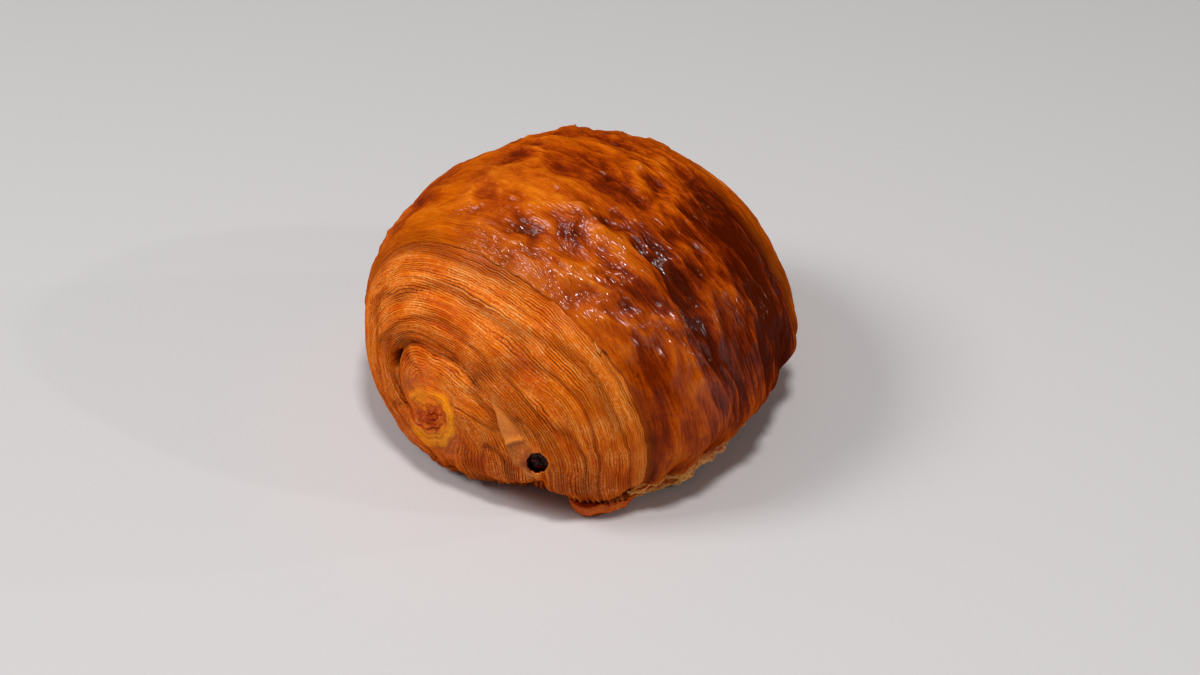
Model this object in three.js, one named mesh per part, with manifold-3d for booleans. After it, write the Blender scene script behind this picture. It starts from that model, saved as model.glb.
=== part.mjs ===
// Pain au chocolat: a rolled, laminated pastry baked round a baton of chocolate, resting on its flat side.
// Millimetres, +Z up, origin at the bottom centre. The roll's axis lies along X, the seam is on the -Y side.
// The dough is one solid whose relief follows the roll: each end shows one spiral line that starts at the tip,
// passes the chocolate after most of a turn, and comes out one turn later as the lip of the crust.
import * as THREE from 'three';
import { mergeVertices } from 'three/addons/utils/BufferGeometryUtils.js';
import Module from 'manifold-3d';

const wasm = await Module();
wasm.setup();

// The plain body: a rounded roll that leans and flattens as dough does
const WIDEST_X = -2.69;
const AXIS_Y = 6.66;
const REACH_SHOWN_END = 50.5;
const REACH_FAR_END = 55.9;
const REACH_SEAM_SIDE = 59.5;
const REACH_PLAIN_SIDE = 46.2;
const CROWN_HEIGHT = 68;
const BULGE_HEIGHT = 22.7;
const PRESSED_DEPTH = 15.6;
const TIP_HEIGHT = 26.8;
const TIP_SIDESTEP = -4.1;
const TIP_SHIFT_POWER = 1.66;
const ROUND_SHOWN_END = 0.84;
const ROUND_FAR_END = 0.96;
const ROUND_SECTION = 0.93;
const WIDENING_TO_FAR_END = 0.029;
const TAPER_LENGTH = 50;
const FLOOR_EDGE_RADIUS = 3;
const FLOOR_EDGE_DROP = 0.35;

// The spiral line of each end, as latitude in degrees (90 at the tip) against the turn round the roll
const SPIRAL_START_TURN = -120;
const SPIRAL_PITCH = 36;
const LIP_EASE_TURN = 400;
const LIP_EASE_RISE = 12;
const LIP_EASE_TURNS = 120;
const STRETCHES = [{ turn: 128, width: 34, inward: 4 }, { turn: 75, width: 40, inward: -2 }];
const GROOVE_WIDTH = 2.8;
const GROOVE_OFFSET = 1.4;
const LEDGE_RISE_START = -0.6;
const LEDGE_RISE_WIDTH = 2.4;
const LEDGE_FADE = 13;
const CRUST_RISE_WIDTH = 9;
// Depth of the groove and height of the ledge outside it, in mm, at turns along the line
const GROOVE_DEPTH = [
  [-120, 0], [-40, 1.2], [30, 2.0], [110, 1.7], [140, 0.8], [168, 1.0], [188, 2.6],
  [215, 4.6], [245, 1.2], [380, 0.2], [420, 0.3], [560, 0.5], [600, 0],
];
const LEDGE_HEIGHT = [
  [-120, 0], [-30, 0.5], [40, 1.5], [190, 1.5], [240, 0.6],
  [390, 0.2], [430, 0.6], [470, 1.0], [560, 0.9], [600, 0],
];

// Unevenness of the whole loaf and the folds of the crust between the two lips
const SWELL_CELL = 26;
const SWELL_HEIGHT = 1.2;
const FOLD_CELL_X = 7.5;
const FOLDS_ROUND = 13;
const FOLD_HEIGHT = 1.8;
const FOLD_WARP_CELL = 17;
const FOLD_WARP = 5;
const SEED_SWELL = 11;
const SEED_FOLD = 23;
const SEED_WARP = 37;

// Ridges where the skin has creased, each from one point to another as [x, turn], and local bulges. The ends
// of a crease stand at this share of its height.
const CREASE_END_SHARE = 0.35;
const CREASES = [
  { from: [-6, 84], to: [-10.8, 104], height: 1.9, width: 3.4 },
  { from: [-10.8, 104], to: [-20, 106], height: 1.5, width: 2.6 },
  { from: [-10.8, 104], to: [-13.3, 115], height: 1.7, width: 2.6 },
  { from: [-22, 116], to: [-23, 140], height: 1.4, width: 2.8 },
  { from: [-15, 126], to: [-14, 152], height: 1.3, width: 2.6 },
  { from: [-4, 118], to: [-2, 146], height: 1.1, width: 3.0 },
  { from: [7, 136], to: [6, 160], height: 1.2, width: 2.8 },
];
const BULGES = [
  { x: 30, turn: 181, height: 1.8, size: 9 },
  { x: -18, turn: 40, height: -0.7, size: 14 },
  { x: 22, turn: 44, height: -1.4, size: 22 },
  { x: 22.6, turn: 69, height: 0.8, size: 3 },
  { x: -22, turn: 178, height: 1.4, size: 9 },
  { x: 14, turn: 176, height: -1.6, size: 9 },
];

// The end of the dough sheet: a ledge along the foot of the seam side, with a crevice over it and a tail at
// its shown end. On both sides of the tail the foot is drawn in under the loaf.
const FOOT = { fullBelow: 9, noneAbove: 12, sideFrom: -6, sideTo: -16 };
const SEAM = { from: -38, to: 44, fade: 9, fullBelow: 4.5, noneAbove: 7.5, out: 1.0 };
const CREVICE = { depth: 1.9, height: 8.6, width: 1.6 };
const TAIL = { x: -34, y: -32, out: 5.6, size: 6.5, fullBelow: 4, noneAbove: 7 };
const TUCKS = [
  { x: -43, y: -16, depth: 4.4, size: 11, fullBelow: 5, noneAbove: 13 },
  { x: -42, y: -24, depth: 5.0, size: 7, fullBelow: 6, noneAbove: 14 },
  { x: -23, y: -42, depth: 3.6, size: 9, fullBelow: 5, noneAbove: 14 },
  { x: 6, y: -48, depth: 6.4, size: 27, fullBelow: 4, noneAbove: 25 },
];

// The chocolate baton, whose shown end slopes as the dough round it does, and the tunnel that it lies in
const BATON = { y: -25.4, z: 21.4, halfWidth: 3.4, halfHeight: 4.0, from: -45.8, to: 42, corner: 0.72 };
const BATON_END_SLOPE = { y: -0.35, z: -0.11 };
const BATON_WANDER = { share: 0.05, length: 9 };
const BATON_SIDES = 18;
const BATON_STEPS = 14;
const TUNNEL_GAP = 0.3;
const TUNNEL_OVERRUN = 14;

// The dark slot between two layers beside the tip, as half sizes of a flattened pit
const SLOT = { x: -52.0, y: 16.8, z: 34.7, deep: 5.5, wide: 1.1, tall: 3.8, lean: -14 };
const SLOT_SIDES = 14;
const SLOT_ROWS = 8;

// How finely the surface is divided: degrees of latitude for each row, and columns round the roll
const ROW_SHOWN_END = 1.9;
const ROW_CRUST = 3.3;
const ROW_FAR_END = 2.3;
const END_LATITUDE = 24;
const COLUMNS = 72;
const NORMAL_STEP = 0.4;
const POLE_GUARD = 89;
const FLOOR_BLOCK = { side: 200, depth: 40 };
const MERGE_WITHIN = 1e-4;

const DEG = Math.PI / 180;

function signedPower(value, exponent) {
  return Math.sign(value) * Math.abs(value) ** exponent;
}

function smoothStep(low, high, value) {
  const t = Math.min(Math.max((value - low) / (high - low), 0), 1);
  return t * t * (3 - 2 * t);
}

// Repeatable noise from -1 to 1: a whole-number hash at lattice points, blended smoothly between them
function latticeValue(i, j, k, seed) {
  let h = Math.imul(i, 374761393) ^ Math.imul(j, 668265263);
  h ^= Math.imul(k, 1440662683) ^ Math.imul(seed, 974634777);
  h = Math.imul(h ^ (h >>> 13), 1274126177);
  h = Math.imul(h ^ (h >>> 15), 2246822519);
  return ((h ^ (h >>> 16)) >>> 0) / 2147483647.5 - 1;
}

function blend(a, b, t) {
  return a + (b - a) * t * t * (3 - 2 * t);
}

function noise(x, y, z, seed, wrapY = 0) {
  const [i, j, k] = [Math.floor(x), Math.floor(y), Math.floor(z)];
  const [fx, fy, fz] = [x - i, y - j, z - k];
  const wrapped = (row) => (wrapY ? ((row % wrapY) + wrapY) % wrapY : row);
  const corner = (di, dj, dk) => latticeValue(i + di, wrapped(j + dj), k + dk, seed);
  const edge = (dj, dk) => blend(corner(0, dj, dk), corner(1, dj, dk), fx);
  const side = (dk) => blend(edge(0, dk), edge(1, dk), fy);
  return blend(side(0), side(1), fz);
}

// A value that eases from station to station, for a list of [place, value]
function along(stations, place) {
  for (let i = 1; i < stations.length; i += 1) {
    const [before, after] = [stations[i - 1], stations[i]];
    if (place <= after[0]) {
      return before[1] + (after[1] - before[1]) * smoothStep(before[0], after[0], place);
    }
  }
  return stations.at(-1)[1];
}

// A point of the plain body from its latitude (-90 at the shown tip, 90 at the far one) and turn, in degrees
function plainPoint(latitude, turn) {
  const shown = latitude < 0;
  const exponent = shown ? ROUND_SHOWN_END : ROUND_FAR_END;
  const reach = shown ? REACH_SHOWN_END : REACH_FAR_END;
  const radius = Math.abs(Math.cos(latitude * DEG)) ** exponent;
  const x = reach * signedPower(Math.sin(latitude * DEG), exponent);
  const across = signedPower(Math.cos(turn * DEG), ROUND_SECTION);
  const upward = signedPower(Math.sin(turn * DEG), ROUND_SECTION);
  const shift = (1 - radius) ** TIP_SHIFT_POWER;
  const side = across > 0 ? REACH_PLAIN_SIDE : REACH_SEAM_SIDE;
  const half = upward > 0 ? CROWN_HEIGHT - BULGE_HEIGHT : BULGE_HEIGHT + PRESSED_DEPTH;
  const y = side * radius * across * (1 + WIDENING_TO_FAR_END * x / TAPER_LENGTH) + TIP_SIDESTEP * shift;
  const z = BULGE_HEIGHT + half * radius * upward + (TIP_HEIGHT - BULGE_HEIGHT) * shift;
  return new THREE.Vector3(x + WIDEST_X, y + AXIS_Y, z);
}

function plainNormal(latitude, turn) {
  const inward = Math.min(Math.max(latitude, -POLE_GUARD), POLE_GUARD);
  const alongRoll = plainPoint(inward + NORMAL_STEP, turn).sub(plainPoint(inward - NORMAL_STEP, turn));
  const roundRoll = plainPoint(inward, turn + NORMAL_STEP).sub(plainPoint(inward, turn - NORMAL_STEP));
  return roundRoll.cross(alongRoll).normalize();
}

function spiralLatitude(turn) {
  let latitude = -90 + SPIRAL_PITCH * (Math.min(turn, LIP_EASE_TURN) - SPIRAL_START_TURN) / 360;
  latitude += LIP_EASE_RISE * (1 - Math.exp(-Math.max(turn - LIP_EASE_TURN, 0) / LIP_EASE_TURNS));
  for (const stretch of STRETCHES) {
    const off = (turn - stretch.turn) / stretch.width;
    latitude -= stretch.inward * Math.exp(-off * off);
  }
  return latitude;
}

// Groove and ledge along the spiral line, and how far a point is past the lip, both from end-side latitude
function spiralRelief(endLatitude, turn) {
  const firstTurn = SPIRAL_START_TURN + ((((turn - SPIRAL_START_TURN) % 360) + 360) % 360);
  let height = 0;
  for (const lineTurn of [firstTurn, firstTurn + 360]) {
    const past = endLatitude - spiralLatitude(lineTurn);
    const inside = (past + GROOVE_OFFSET) / GROOVE_WIDTH;
    height -= along(GROOVE_DEPTH, lineTurn) * Math.exp(-inside * inside);
    const risen = smoothStep(LEDGE_RISE_START, LEDGE_RISE_WIDTH, past);
    height += along(LEDGE_HEIGHT, lineTurn) * risen * Math.exp(-Math.max(past, 0) / LEDGE_FADE);
  }
  return { height, pastLip: endLatitude - spiralLatitude(firstTurn + 360) };
}

// A crease is a rounded ridge, highest midway and fading out at both ends
function creaseHeight(crease, x, turn, millimetresPerDegree) {
  const start = new THREE.Vector2(crease.from[0], crease.from[1] * millimetresPerDegree);
  const end = new THREE.Vector2(crease.to[0], crease.to[1] * millimetresPerDegree);
  const line = end.clone().sub(start);
  const here = new THREE.Vector2(x, turn * millimetresPerDegree).sub(start);
  const t = Math.min(Math.max(here.dot(line) / line.lengthSq(), 0), 1);
  const off = here.sub(line.multiplyScalar(t)).length() / crease.width;
  const share = CREASE_END_SHARE + (1 - CREASE_END_SHARE) * Math.sin(Math.PI * t);
  return crease.height * share * Math.exp(-off * off);
}

function foldRelief(point, turn) {
  const warp = FOLD_WARP * noise(
    point.x / FOLD_WARP_CELL, point.y / FOLD_WARP_CELL, point.z / FOLD_WARP_CELL, SEED_WARP);
  const wave = noise((point.x + warp) / FOLD_CELL_X, turn / 360 * FOLDS_ROUND, 0.5, SEED_FOLD, FOLDS_ROUND);
  return FOLD_HEIGHT * (0.5 - Math.abs(wave));
}

function doughPoint(latitude, turn) {
  const point = plainPoint(latitude, turn);
  const normal = plainNormal(latitude, turn);
  const radiusFromAxis = Math.hypot(point.y - AXIS_Y, point.z - BULGE_HEIGHT);
  const end = spiralRelief(-Math.abs(latitude), turn);
  const crust = smoothStep(0, CRUST_RISE_WIDTH, end.pastLip);
  let height = end.height;
  height += SWELL_HEIGHT * noise(
    point.x / SWELL_CELL, point.y / SWELL_CELL, point.z / SWELL_CELL, SEED_SWELL);
  height += crust * foldRelief(point, turn);
  for (const crease of CREASES) {
    height += creaseHeight(crease, point.x, turn, radiusFromAxis * DEG);
  }
  for (const bulge of BULGES) {
    const off = Math.hypot(point.x - bulge.x, (turn - bulge.turn) * DEG * radiusFromAxis) / bulge.size;
    height += bulge.height * Math.exp(-off * off);
  }
  const raised = point.z + height * normal.z;
  const settled = (raised + Math.hypot(raised, FLOOR_EDGE_RADIUS)) / 2 - FLOOR_EDGE_DROP;
  point.x += height * normal.x;
  point.y += height * normal.y;
  point.z = settled;
  return point.add(footRelief(point, normal));
}

// A soft round patch: 1 at its middle, fading with distance over its size
function softPatch(point, patch) {
  const off = Math.hypot(point.x - patch.x, point.y - patch.y) / patch.size;
  return Math.exp(-off * off);
}

// The ledge, crevice, tail and tucks at the foot push straight outward or inward, level with the floor
function footRelief(point, normal) {
  const below = (form) => smoothStep(form.noneAbove, form.fullBelow, point.z);
  const alongSeam = smoothStep(SEAM.from, SEAM.from + SEAM.fade, point.x)
    * smoothStep(SEAM.to, SEAM.to - SEAM.fade, point.x);
  const cut = (point.z - CREVICE.height) / CREVICE.width;
  const seam = SEAM.out * below(SEAM) - CREVICE.depth * Math.exp(-cut * cut);
  const tail = TAIL.out * softPatch(point, TAIL) * below(TAIL);
  const seamSide = smoothStep(FOOT.sideFrom, FOOT.sideTo, point.y) * below(FOOT);
  let drawnIn = 0;
  for (const tuck of TUCKS) {
    drawnIn += tuck.depth * softPatch(point, tuck) * below(tuck);
  }
  const outward = new THREE.Vector3(normal.x, normal.y, 0).normalize();
  return outward.multiplyScalar(seamSide * (alongSeam * seam + tail) - drawnIn);
}

// A closed skin from rings of points, each ring joined to the next and the two ends drawn to a point
function closedSkin(rings, firstTip, lastTip) {
  const sides = rings[0].length;
  const points = [firstTip, ...rings.flat(), lastTip];
  const faces = [];
  for (let side = 0; side < sides; side += 1) {
    const next = (side + 1) % sides;
    faces.push(0, 1 + next, 1 + side);
    for (let ring = 0; ring + 1 < rings.length; ring += 1) {
      const here = 1 + ring * sides;
      const there = here + sides;
      faces.push(here + side, here + next, there + next, here + side, there + next, there + side);
    }
    const last = 1 + (rings.length - 1) * sides;
    faces.push(last + side, last + next, points.length - 1);
  }
  const numbers = points.flatMap((point) => [point.x, point.y, point.z]);
  const geometry = new THREE.BufferGeometry();
  geometry.setAttribute('position', new THREE.Float32BufferAttribute(numbers, 3));
  geometry.setIndex(faces);
  return geometry;
}

// Rows of latitude: fine over the shown end, wider over the crust and the far end
function latitudeRows() {
  const rows = [];
  let latitude = -90 + ROW_SHOWN_END;
  while (latitude < 90 - ROW_FAR_END / 2) {
    rows.push(latitude);
    const crust = Math.abs(latitude) < END_LATITUDE;
    const step = latitude < 0 ? ROW_SHOWN_END : ROW_FAR_END;
    latitude += crust ? ROW_CRUST : step;
  }
  return rows;
}

function doughSkin() {
  const rings = latitudeRows().map((latitude) => {
    const ring = [];
    for (let column = 0; column < COLUMNS; column += 1) {
      ring.push(doughPoint(latitude, column / COLUMNS * 360));
    }
    return ring;
  });
  return closedSkin(rings, doughPoint(-90, 0), doughPoint(90, 0));
}

// The baton's section is a soft-cornered oblong whose sides wander a little along its length. Each section
// leans as the shown end does, less and less towards the far end, which is square.
function batonSkin(grow, overrun) {
  const rings = [];
  const from = BATON.from - overrun;
  const to = BATON.to + overrun;
  for (let step = 0; step <= BATON_STEPS; step += 1) {
    const share = step / BATON_STEPS;
    const x = from + (to - from) * share;
    const ring = [];
    for (let side = 0; side < BATON_SIDES; side += 1) {
      const angle = side / BATON_SIDES * 2 * Math.PI;
      const wander = 1 + BATON_WANDER.share * Math.sin(x / BATON_WANDER.length + 2 * angle);
      const y = (BATON.halfWidth + grow) * wander * signedPower(Math.cos(angle), BATON.corner);
      const z = (BATON.halfHeight + grow) * wander * signedPower(Math.sin(angle), BATON.corner);
      const lean = (1 - share) * (BATON_END_SLOPE.y * y + BATON_END_SLOPE.z * z);
      ring.push(new THREE.Vector3(x + lean, BATON.y + y, BATON.z + z));
    }
    rings.push(ring);
  }
  const tips = [from, to].map((x) => new THREE.Vector3(x, BATON.y, BATON.z));
  return closedSkin(rings, tips[0], tips[1]);
}

// A flattened pit for the dark slot, leaning with the layers beside it
function slotSkin() {
  const geometry = new THREE.SphereGeometry(1, SLOT_SIDES, SLOT_ROWS);
  geometry.scale(SLOT.deep, SLOT.wide, SLOT.tall);
  geometry.rotateX(SLOT.lean * DEG);
  geometry.translate(SLOT.x, SLOT.y, SLOT.z);
  return geometry;
}

// Everything below the floor, which cuts the underside flat
function floorBlock() {
  const geometry = new THREE.BoxGeometry(FLOOR_BLOCK.side, FLOOR_BLOCK.side, FLOOR_BLOCK.depth);
  geometry.translate(0, 0, -FLOOR_BLOCK.depth / 2);
  return geometry;
}

function toSolid(geometry) {
  const bare = geometry.clone();
  bare.deleteAttribute('normal');
  bare.deleteAttribute('uv');
  const merged = mergeVertices(bare, MERGE_WITHIN);
  return new wasm.Manifold(new wasm.Mesh({
    numProp: 3,
    vertProperties: new Float32Array(merged.attributes.position.array),
    triVerts: new Uint32Array(merged.index.array),
  }));
}

function toGeometry(solid) {
  const mesh = solid.getMesh();
  const geometry = new THREE.BufferGeometry();
  geometry.setAttribute('position', new THREE.BufferAttribute(new Float32Array(mesh.vertProperties), 3));
  geometry.setIndex(new THREE.BufferAttribute(new Uint32Array(mesh.triVerts), 1));
  return geometry;
}

function makeDough() {
  const solid = toSolid(doughSkin())
    .subtract(toSolid(floorBlock()))
    .subtract(toSolid(batonSkin(TUNNEL_GAP, TUNNEL_OVERRUN)))
    .subtract(toSolid(slotSkin()));
  const crust = new THREE.MeshStandardMaterial({ color: 0xb5652a, roughness: 0.4, metalness: 0 });
  const mesh = new THREE.Mesh(toGeometry(solid), crust);
  mesh.name = 'dough';
  return mesh;
}

function makeChocolate() {
  const dark = new THREE.MeshStandardMaterial({ color: 0x2f1710, roughness: 0.35, metalness: 0 });
  const mesh = new THREE.Mesh(toGeometry(toSolid(batonSkin(0, 0))), dark);
  mesh.name = 'chocolate';
  return mesh;
}

// Both solids take one small step sideways, which puts the origin at the bottom centre of the whole
function centred(meshes) {
  const box = new THREE.Box3();
  for (const mesh of meshes) {
    box.expandByObject(mesh);
  }
  const middle = box.getCenter(new THREE.Vector3());
  for (const mesh of meshes) {
    mesh.geometry.translate(-middle.x, -middle.y, -box.min.z);
  }
  return meshes;
}

const painAuChocolat = new THREE.Group();
painAuChocolat.add(...centred([makeDough(), makeChocolate()]));

export default painAuChocolat;
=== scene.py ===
# %% [markdown]
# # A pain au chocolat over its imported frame
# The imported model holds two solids: the dough, with its large folds and spiral ends, and the baton of
# chocolate that runs through it. This file builds the fine surface over the same body, in the same place:
# a glossy crust, two ends of cut layers, a thin skin over one fold, loose flakes and the chocolate.

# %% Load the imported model
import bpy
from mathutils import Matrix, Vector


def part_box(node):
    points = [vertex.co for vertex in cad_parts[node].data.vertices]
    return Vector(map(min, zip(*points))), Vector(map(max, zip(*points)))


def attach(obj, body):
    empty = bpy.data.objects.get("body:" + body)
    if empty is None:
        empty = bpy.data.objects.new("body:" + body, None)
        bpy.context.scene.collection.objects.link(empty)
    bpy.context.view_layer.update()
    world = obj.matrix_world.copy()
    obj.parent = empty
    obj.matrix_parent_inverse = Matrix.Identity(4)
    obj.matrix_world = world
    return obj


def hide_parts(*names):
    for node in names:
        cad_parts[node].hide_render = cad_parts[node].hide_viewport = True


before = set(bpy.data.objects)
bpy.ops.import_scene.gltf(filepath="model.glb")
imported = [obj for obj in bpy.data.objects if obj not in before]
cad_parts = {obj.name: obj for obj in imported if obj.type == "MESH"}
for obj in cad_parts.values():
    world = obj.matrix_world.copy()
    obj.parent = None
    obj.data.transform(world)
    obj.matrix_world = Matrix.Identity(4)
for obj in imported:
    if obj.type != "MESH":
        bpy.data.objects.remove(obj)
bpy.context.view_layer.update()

# %% Modules and units
import math
import bpy
import numpy as np

MM = 0.001
DEG = math.pi / 180
BODY = "root"

# %% [markdown]
# ## Repeatable unevenness
# Baked dough is never regular, but a scene has to come out the same on every run. Value noise does both:
# each whole-number point gets a fixed value by mixing its coordinates, and the values between are blended.
# The solids use the same rule and the same seeds, so the large folds of both lie in the same places.


# %% Value noise
def lattice_value(i, j, k, seed):
    """A fixed value from -1 to 1 for each whole-number point."""
    mixed = i.astype(np.uint32) * np.uint32(374761393)
    mixed ^= j.astype(np.uint32) * np.uint32(668265263)
    mixed ^= k.astype(np.uint32) * np.uint32(1440662683)
    mixed ^= np.uint32(seed * 974634777 & 0xFFFFFFFF)
    mixed = (mixed ^ (mixed >> 13)) * np.uint32(1274126177)
    mixed = (mixed ^ (mixed >> 15)) * np.uint32(2246822519)
    return (mixed ^ (mixed >> 16)) / 2147483647.5 - 1


def eased(t):
    return t * t * (3 - 2 * t)


def noise(x, y, z, seed, wrap_y=0):
    """Smooth values from -1 to 1; with wrap_y the pattern repeats after that many cells of y."""
    x, y, z = np.broadcast_arrays(*(np.asarray(v, float) for v in (x, y, z)))
    i, j, k = (np.floor(v).astype(np.int64) for v in (x, y, z))
    tx, ty, tz = eased(x - i), eased(y - j), eased(z - k)
    total = np.zeros(x.shape)
    for di in (0, 1):
        for dj in (0, 1):
            row = (j + dj) % wrap_y if wrap_y else j + dj
            for dk in (0, 1):
                weight = (tx if di else 1 - tx) * (ty if dj else 1 - ty) * (tz if dk else 1 - tz)
                total += weight * lattice_value(i + di, row, k + dk, seed)
    return total


def smooth_step(low, high, value):
    return eased(np.clip((value - low) / (high - low), 0, 1))


def along(stations, place):
    """Eases from station to station of a list of (place, value)."""
    value = np.full(np.shape(place), float(stations[0][1]))
    for (start, before), (end, after) in zip(stations, stations[1:]):
        value = value + (after - before) * smooth_step(start, end, place)
    return value


sample = noise(np.linspace(0, 9, 2000), 0.3, 0.7, 11)
print("noise runs from", round(sample.min(), 2), "to", round(sample.max(), 2))

# %% [markdown]
# ## The plain body
# A strip of dough is rolled round the chocolate and proves into a fat loaf. A sphere's latitude and
# longitude fit it well: the roll's axis is the axis of the globe, the two spiral ends are its poles, and
# powers of the sines and cosines turn the circles into the blunter curves of dough. Sculpting could do
# it too, but a formula lets every later detail be placed by latitude and by turn round the roll.

# %% Sizes of the plain body, in millimetres and degrees
WIDEST_X, AXIS_Y = -2.69, 6.66
REACH_SHOWN_END, REACH_FAR_END = 50.5, 55.9
REACH_SEAM_SIDE, REACH_PLAIN_SIDE = 59.5, 46.2
CROWN_HEIGHT, BULGE_HEIGHT, PRESSED_DEPTH = 68.0, 22.7, 15.6
TIP_HEIGHT, TIP_SIDESTEP, TIP_SHIFT_POWER = 26.8, -4.1, 1.66
ROUND_SHOWN_END, ROUND_FAR_END, ROUND_SECTION = 0.84, 0.96, 0.93
WIDENING_TO_FAR_END, TAPER_LENGTH = 0.029, 50.0
FLOOR_EDGE_RADIUS, FLOOR_EDGE_DROP = 3.0, 0.35
BATON = {"y": -25.4, "z": 21.4, "half_width": 3.4, "half_height": 4.0, "to": 42.0, "corner": 0.72}


def signed_power(value, exponent):
    return np.sign(value) * np.abs(value) ** exponent


def plain_point(latitude, turn):
    """A point of the plain body: latitude -90 is the shown tip, and turn 90 is the top."""
    latitude, turn = np.broadcast_arrays(latitude, turn)
    exponent = np.where(latitude < 0, ROUND_SHOWN_END, ROUND_FAR_END)
    reach = np.where(latitude < 0, REACH_SHOWN_END, REACH_FAR_END)
    radius = np.abs(np.cos(latitude * DEG)) ** exponent
    x = reach * signed_power(np.sin(latitude * DEG), exponent)
    across = signed_power(np.cos(turn * DEG), ROUND_SECTION)
    upward = signed_power(np.sin(turn * DEG), ROUND_SECTION)
    shift = (1 - radius) ** TIP_SHIFT_POWER
    side = np.where(across > 0, REACH_PLAIN_SIDE, REACH_SEAM_SIDE)
    half = np.where(upward > 0, CROWN_HEIGHT - BULGE_HEIGHT, BULGE_HEIGHT + PRESSED_DEPTH)
    y = side * radius * across * (1 + WIDENING_TO_FAR_END * x / TAPER_LENGTH) + TIP_SIDESTEP * shift
    z = BULGE_HEIGHT + half * radius * upward + (TIP_HEIGHT - BULGE_HEIGHT) * shift
    return np.stack([x + WIDEST_X, y + AXIS_Y, z], -1)


def plain_normal(latitude, turn):
    """The outward direction, from two short steps across the plain body."""
    step = 0.4
    inward = np.clip(latitude, -89, 89)
    along_roll = plain_point(inward + step, turn) - plain_point(inward - step, turn)
    round_roll = plain_point(inward, turn + step) - plain_point(inward, turn - step)
    across = np.cross(round_roll, along_roll)
    return across / np.linalg.norm(across, axis=-1, keepdims=True)


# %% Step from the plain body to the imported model, whose origin is the middle of its box
baton_low, baton_high = (np.array(corner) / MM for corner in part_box("chocolate"))
baton_middle = (baton_low + baton_high) / 2
TO_FRAME = np.array([baton_high[0] - BATON["to"], baton_middle[1] - BATON["y"], baton_middle[2] - BATON["z"]])
print("the model is stepped by", np.round(TO_FRAME, 3), "mm")

# %% [markdown]
# ## Lengths along the roll
# Latitude is a poor ruler: near a tip one degree is over a millimetre, and near the middle it is less.
# So rows of the mesh and the thickness of the layers are measured as the length of the curve from tip to
# tip, taken once over the visible flank and then looked up in both directions.

# %% Length of the flank from the shown tip
FLANK_TURN = 135.0
flank_latitude = np.linspace(-90, 90, 1801)
flank_points = plain_point(flank_latitude, FLANK_TURN)
flank_steps = np.linalg.norm(np.diff(flank_points, axis=0), axis=-1)
flank_length = np.concatenate([[0.0], np.cumsum(flank_steps)])


def length_at(latitude):
    return np.interp(latitude, flank_latitude, flank_length)


def latitude_at(length):
    return np.interp(length, flank_length, flank_latitude)


def end_length(end_latitude):
    """Millimetres from the nearer tip, for a latitude counted from -90 at that tip."""
    return length_at(end_latitude)


print("tip to tip over the flank:", round(flank_length[-1], 1), "mm")

# %% [markdown]
# ## The spiral
# Seen from the end, the rolled dough is one spiral line. It leaves the tip, passes the chocolate after
# most of a turn, and comes out a turn later as the lip of the crust. Everything on the ends hangs on this
# line: the groove inside it, the ledge outside it and the run of the cut layers between its turns.

# %% The spiral line
SPIRAL_START_TURN, SPIRAL_PITCH = -120.0, 36.0
LIP_EASE_TURN, LIP_EASE_RISE, LIP_EASE_TURNS = 400.0, 12.0, 120.0
STRETCHES = ({"turn": 128.0, "width": 34.0, "inward": 4.0}, {"turn": 75.0, "width": 40.0, "inward": -2.0})
GROOVE_WIDTH = [(-120, 1.2), (40, 1.2), (90, 1.6), (150, 2.6)]
GROOVE_OFFSET = [(-120, 0.4), (40, 0.1), (90, 0.6), (150, 1.4)]
LEDGE_RISE_WIDTH, LEDGE_FADE = 2.4, 13.0
GROOVE_DEPTH = [
    (-120, 0), (-40, 1.2), (30, 1.7), (60, 0.9), (110, 0.6), (140, 0.5), (168, 0.9), (188, 2.2),
    (215, 2.6), (245, 1.0), (380, 0.2), (420, 0.3), (560, 0.5), (600, 0),
]
LEDGE_HEIGHT = [
    (-120, 0), (-30, 0.5), (40, 1.5), (190, 1.5), (240, 0.6), (390, 0.2), (430, 0.6), (470, 1.0),
    (560, 0.9), (600, 0),
]


def spiral_latitude(turn):
    latitude = -90 + SPIRAL_PITCH * (np.minimum(turn, LIP_EASE_TURN) - SPIRAL_START_TURN) / 360
    late = np.maximum(turn - LIP_EASE_TURN, 0)
    latitude = latitude + LIP_EASE_RISE * (1 - np.exp(-late / LIP_EASE_TURNS))
    for stretch in STRETCHES:
        off = (turn - stretch["turn"]) / stretch["width"]
        latitude = latitude - stretch["inward"] * np.exp(-off * off)
    return latitude


def wrapped(turn, start):
    """The same turn, counted so that it lies in the full circle after start."""
    return start + np.mod(turn - start, 360.0)


def groove(past, line_turn):
    inside = (past + along(GROOVE_OFFSET, line_turn)) / along(GROOVE_WIDTH, line_turn)
    return -along(GROOVE_DEPTH, line_turn) * np.exp(-inside * inside)


def ledge(past, line_turn, rise_width=LEDGE_RISE_WIDTH):
    rise = smooth_step(-0.25 * rise_width, rise_width, past)
    return along(LEDGE_HEIGHT, line_turn) * rise * np.exp(-np.maximum(past, 0) / LEDGE_FADE)


# %% [markdown]
# ## The lip of the crust
# The brushed outer sheet stops at the lip, and the cut layers begin below it. On the loaf the edge wanders
# a little and is thicker on the right, where the sheet has lifted. The two ends have the same spiral, with
# other wanderings. Underneath, where the spiral's turns don't meet, the lip is led across the flat foot.

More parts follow.
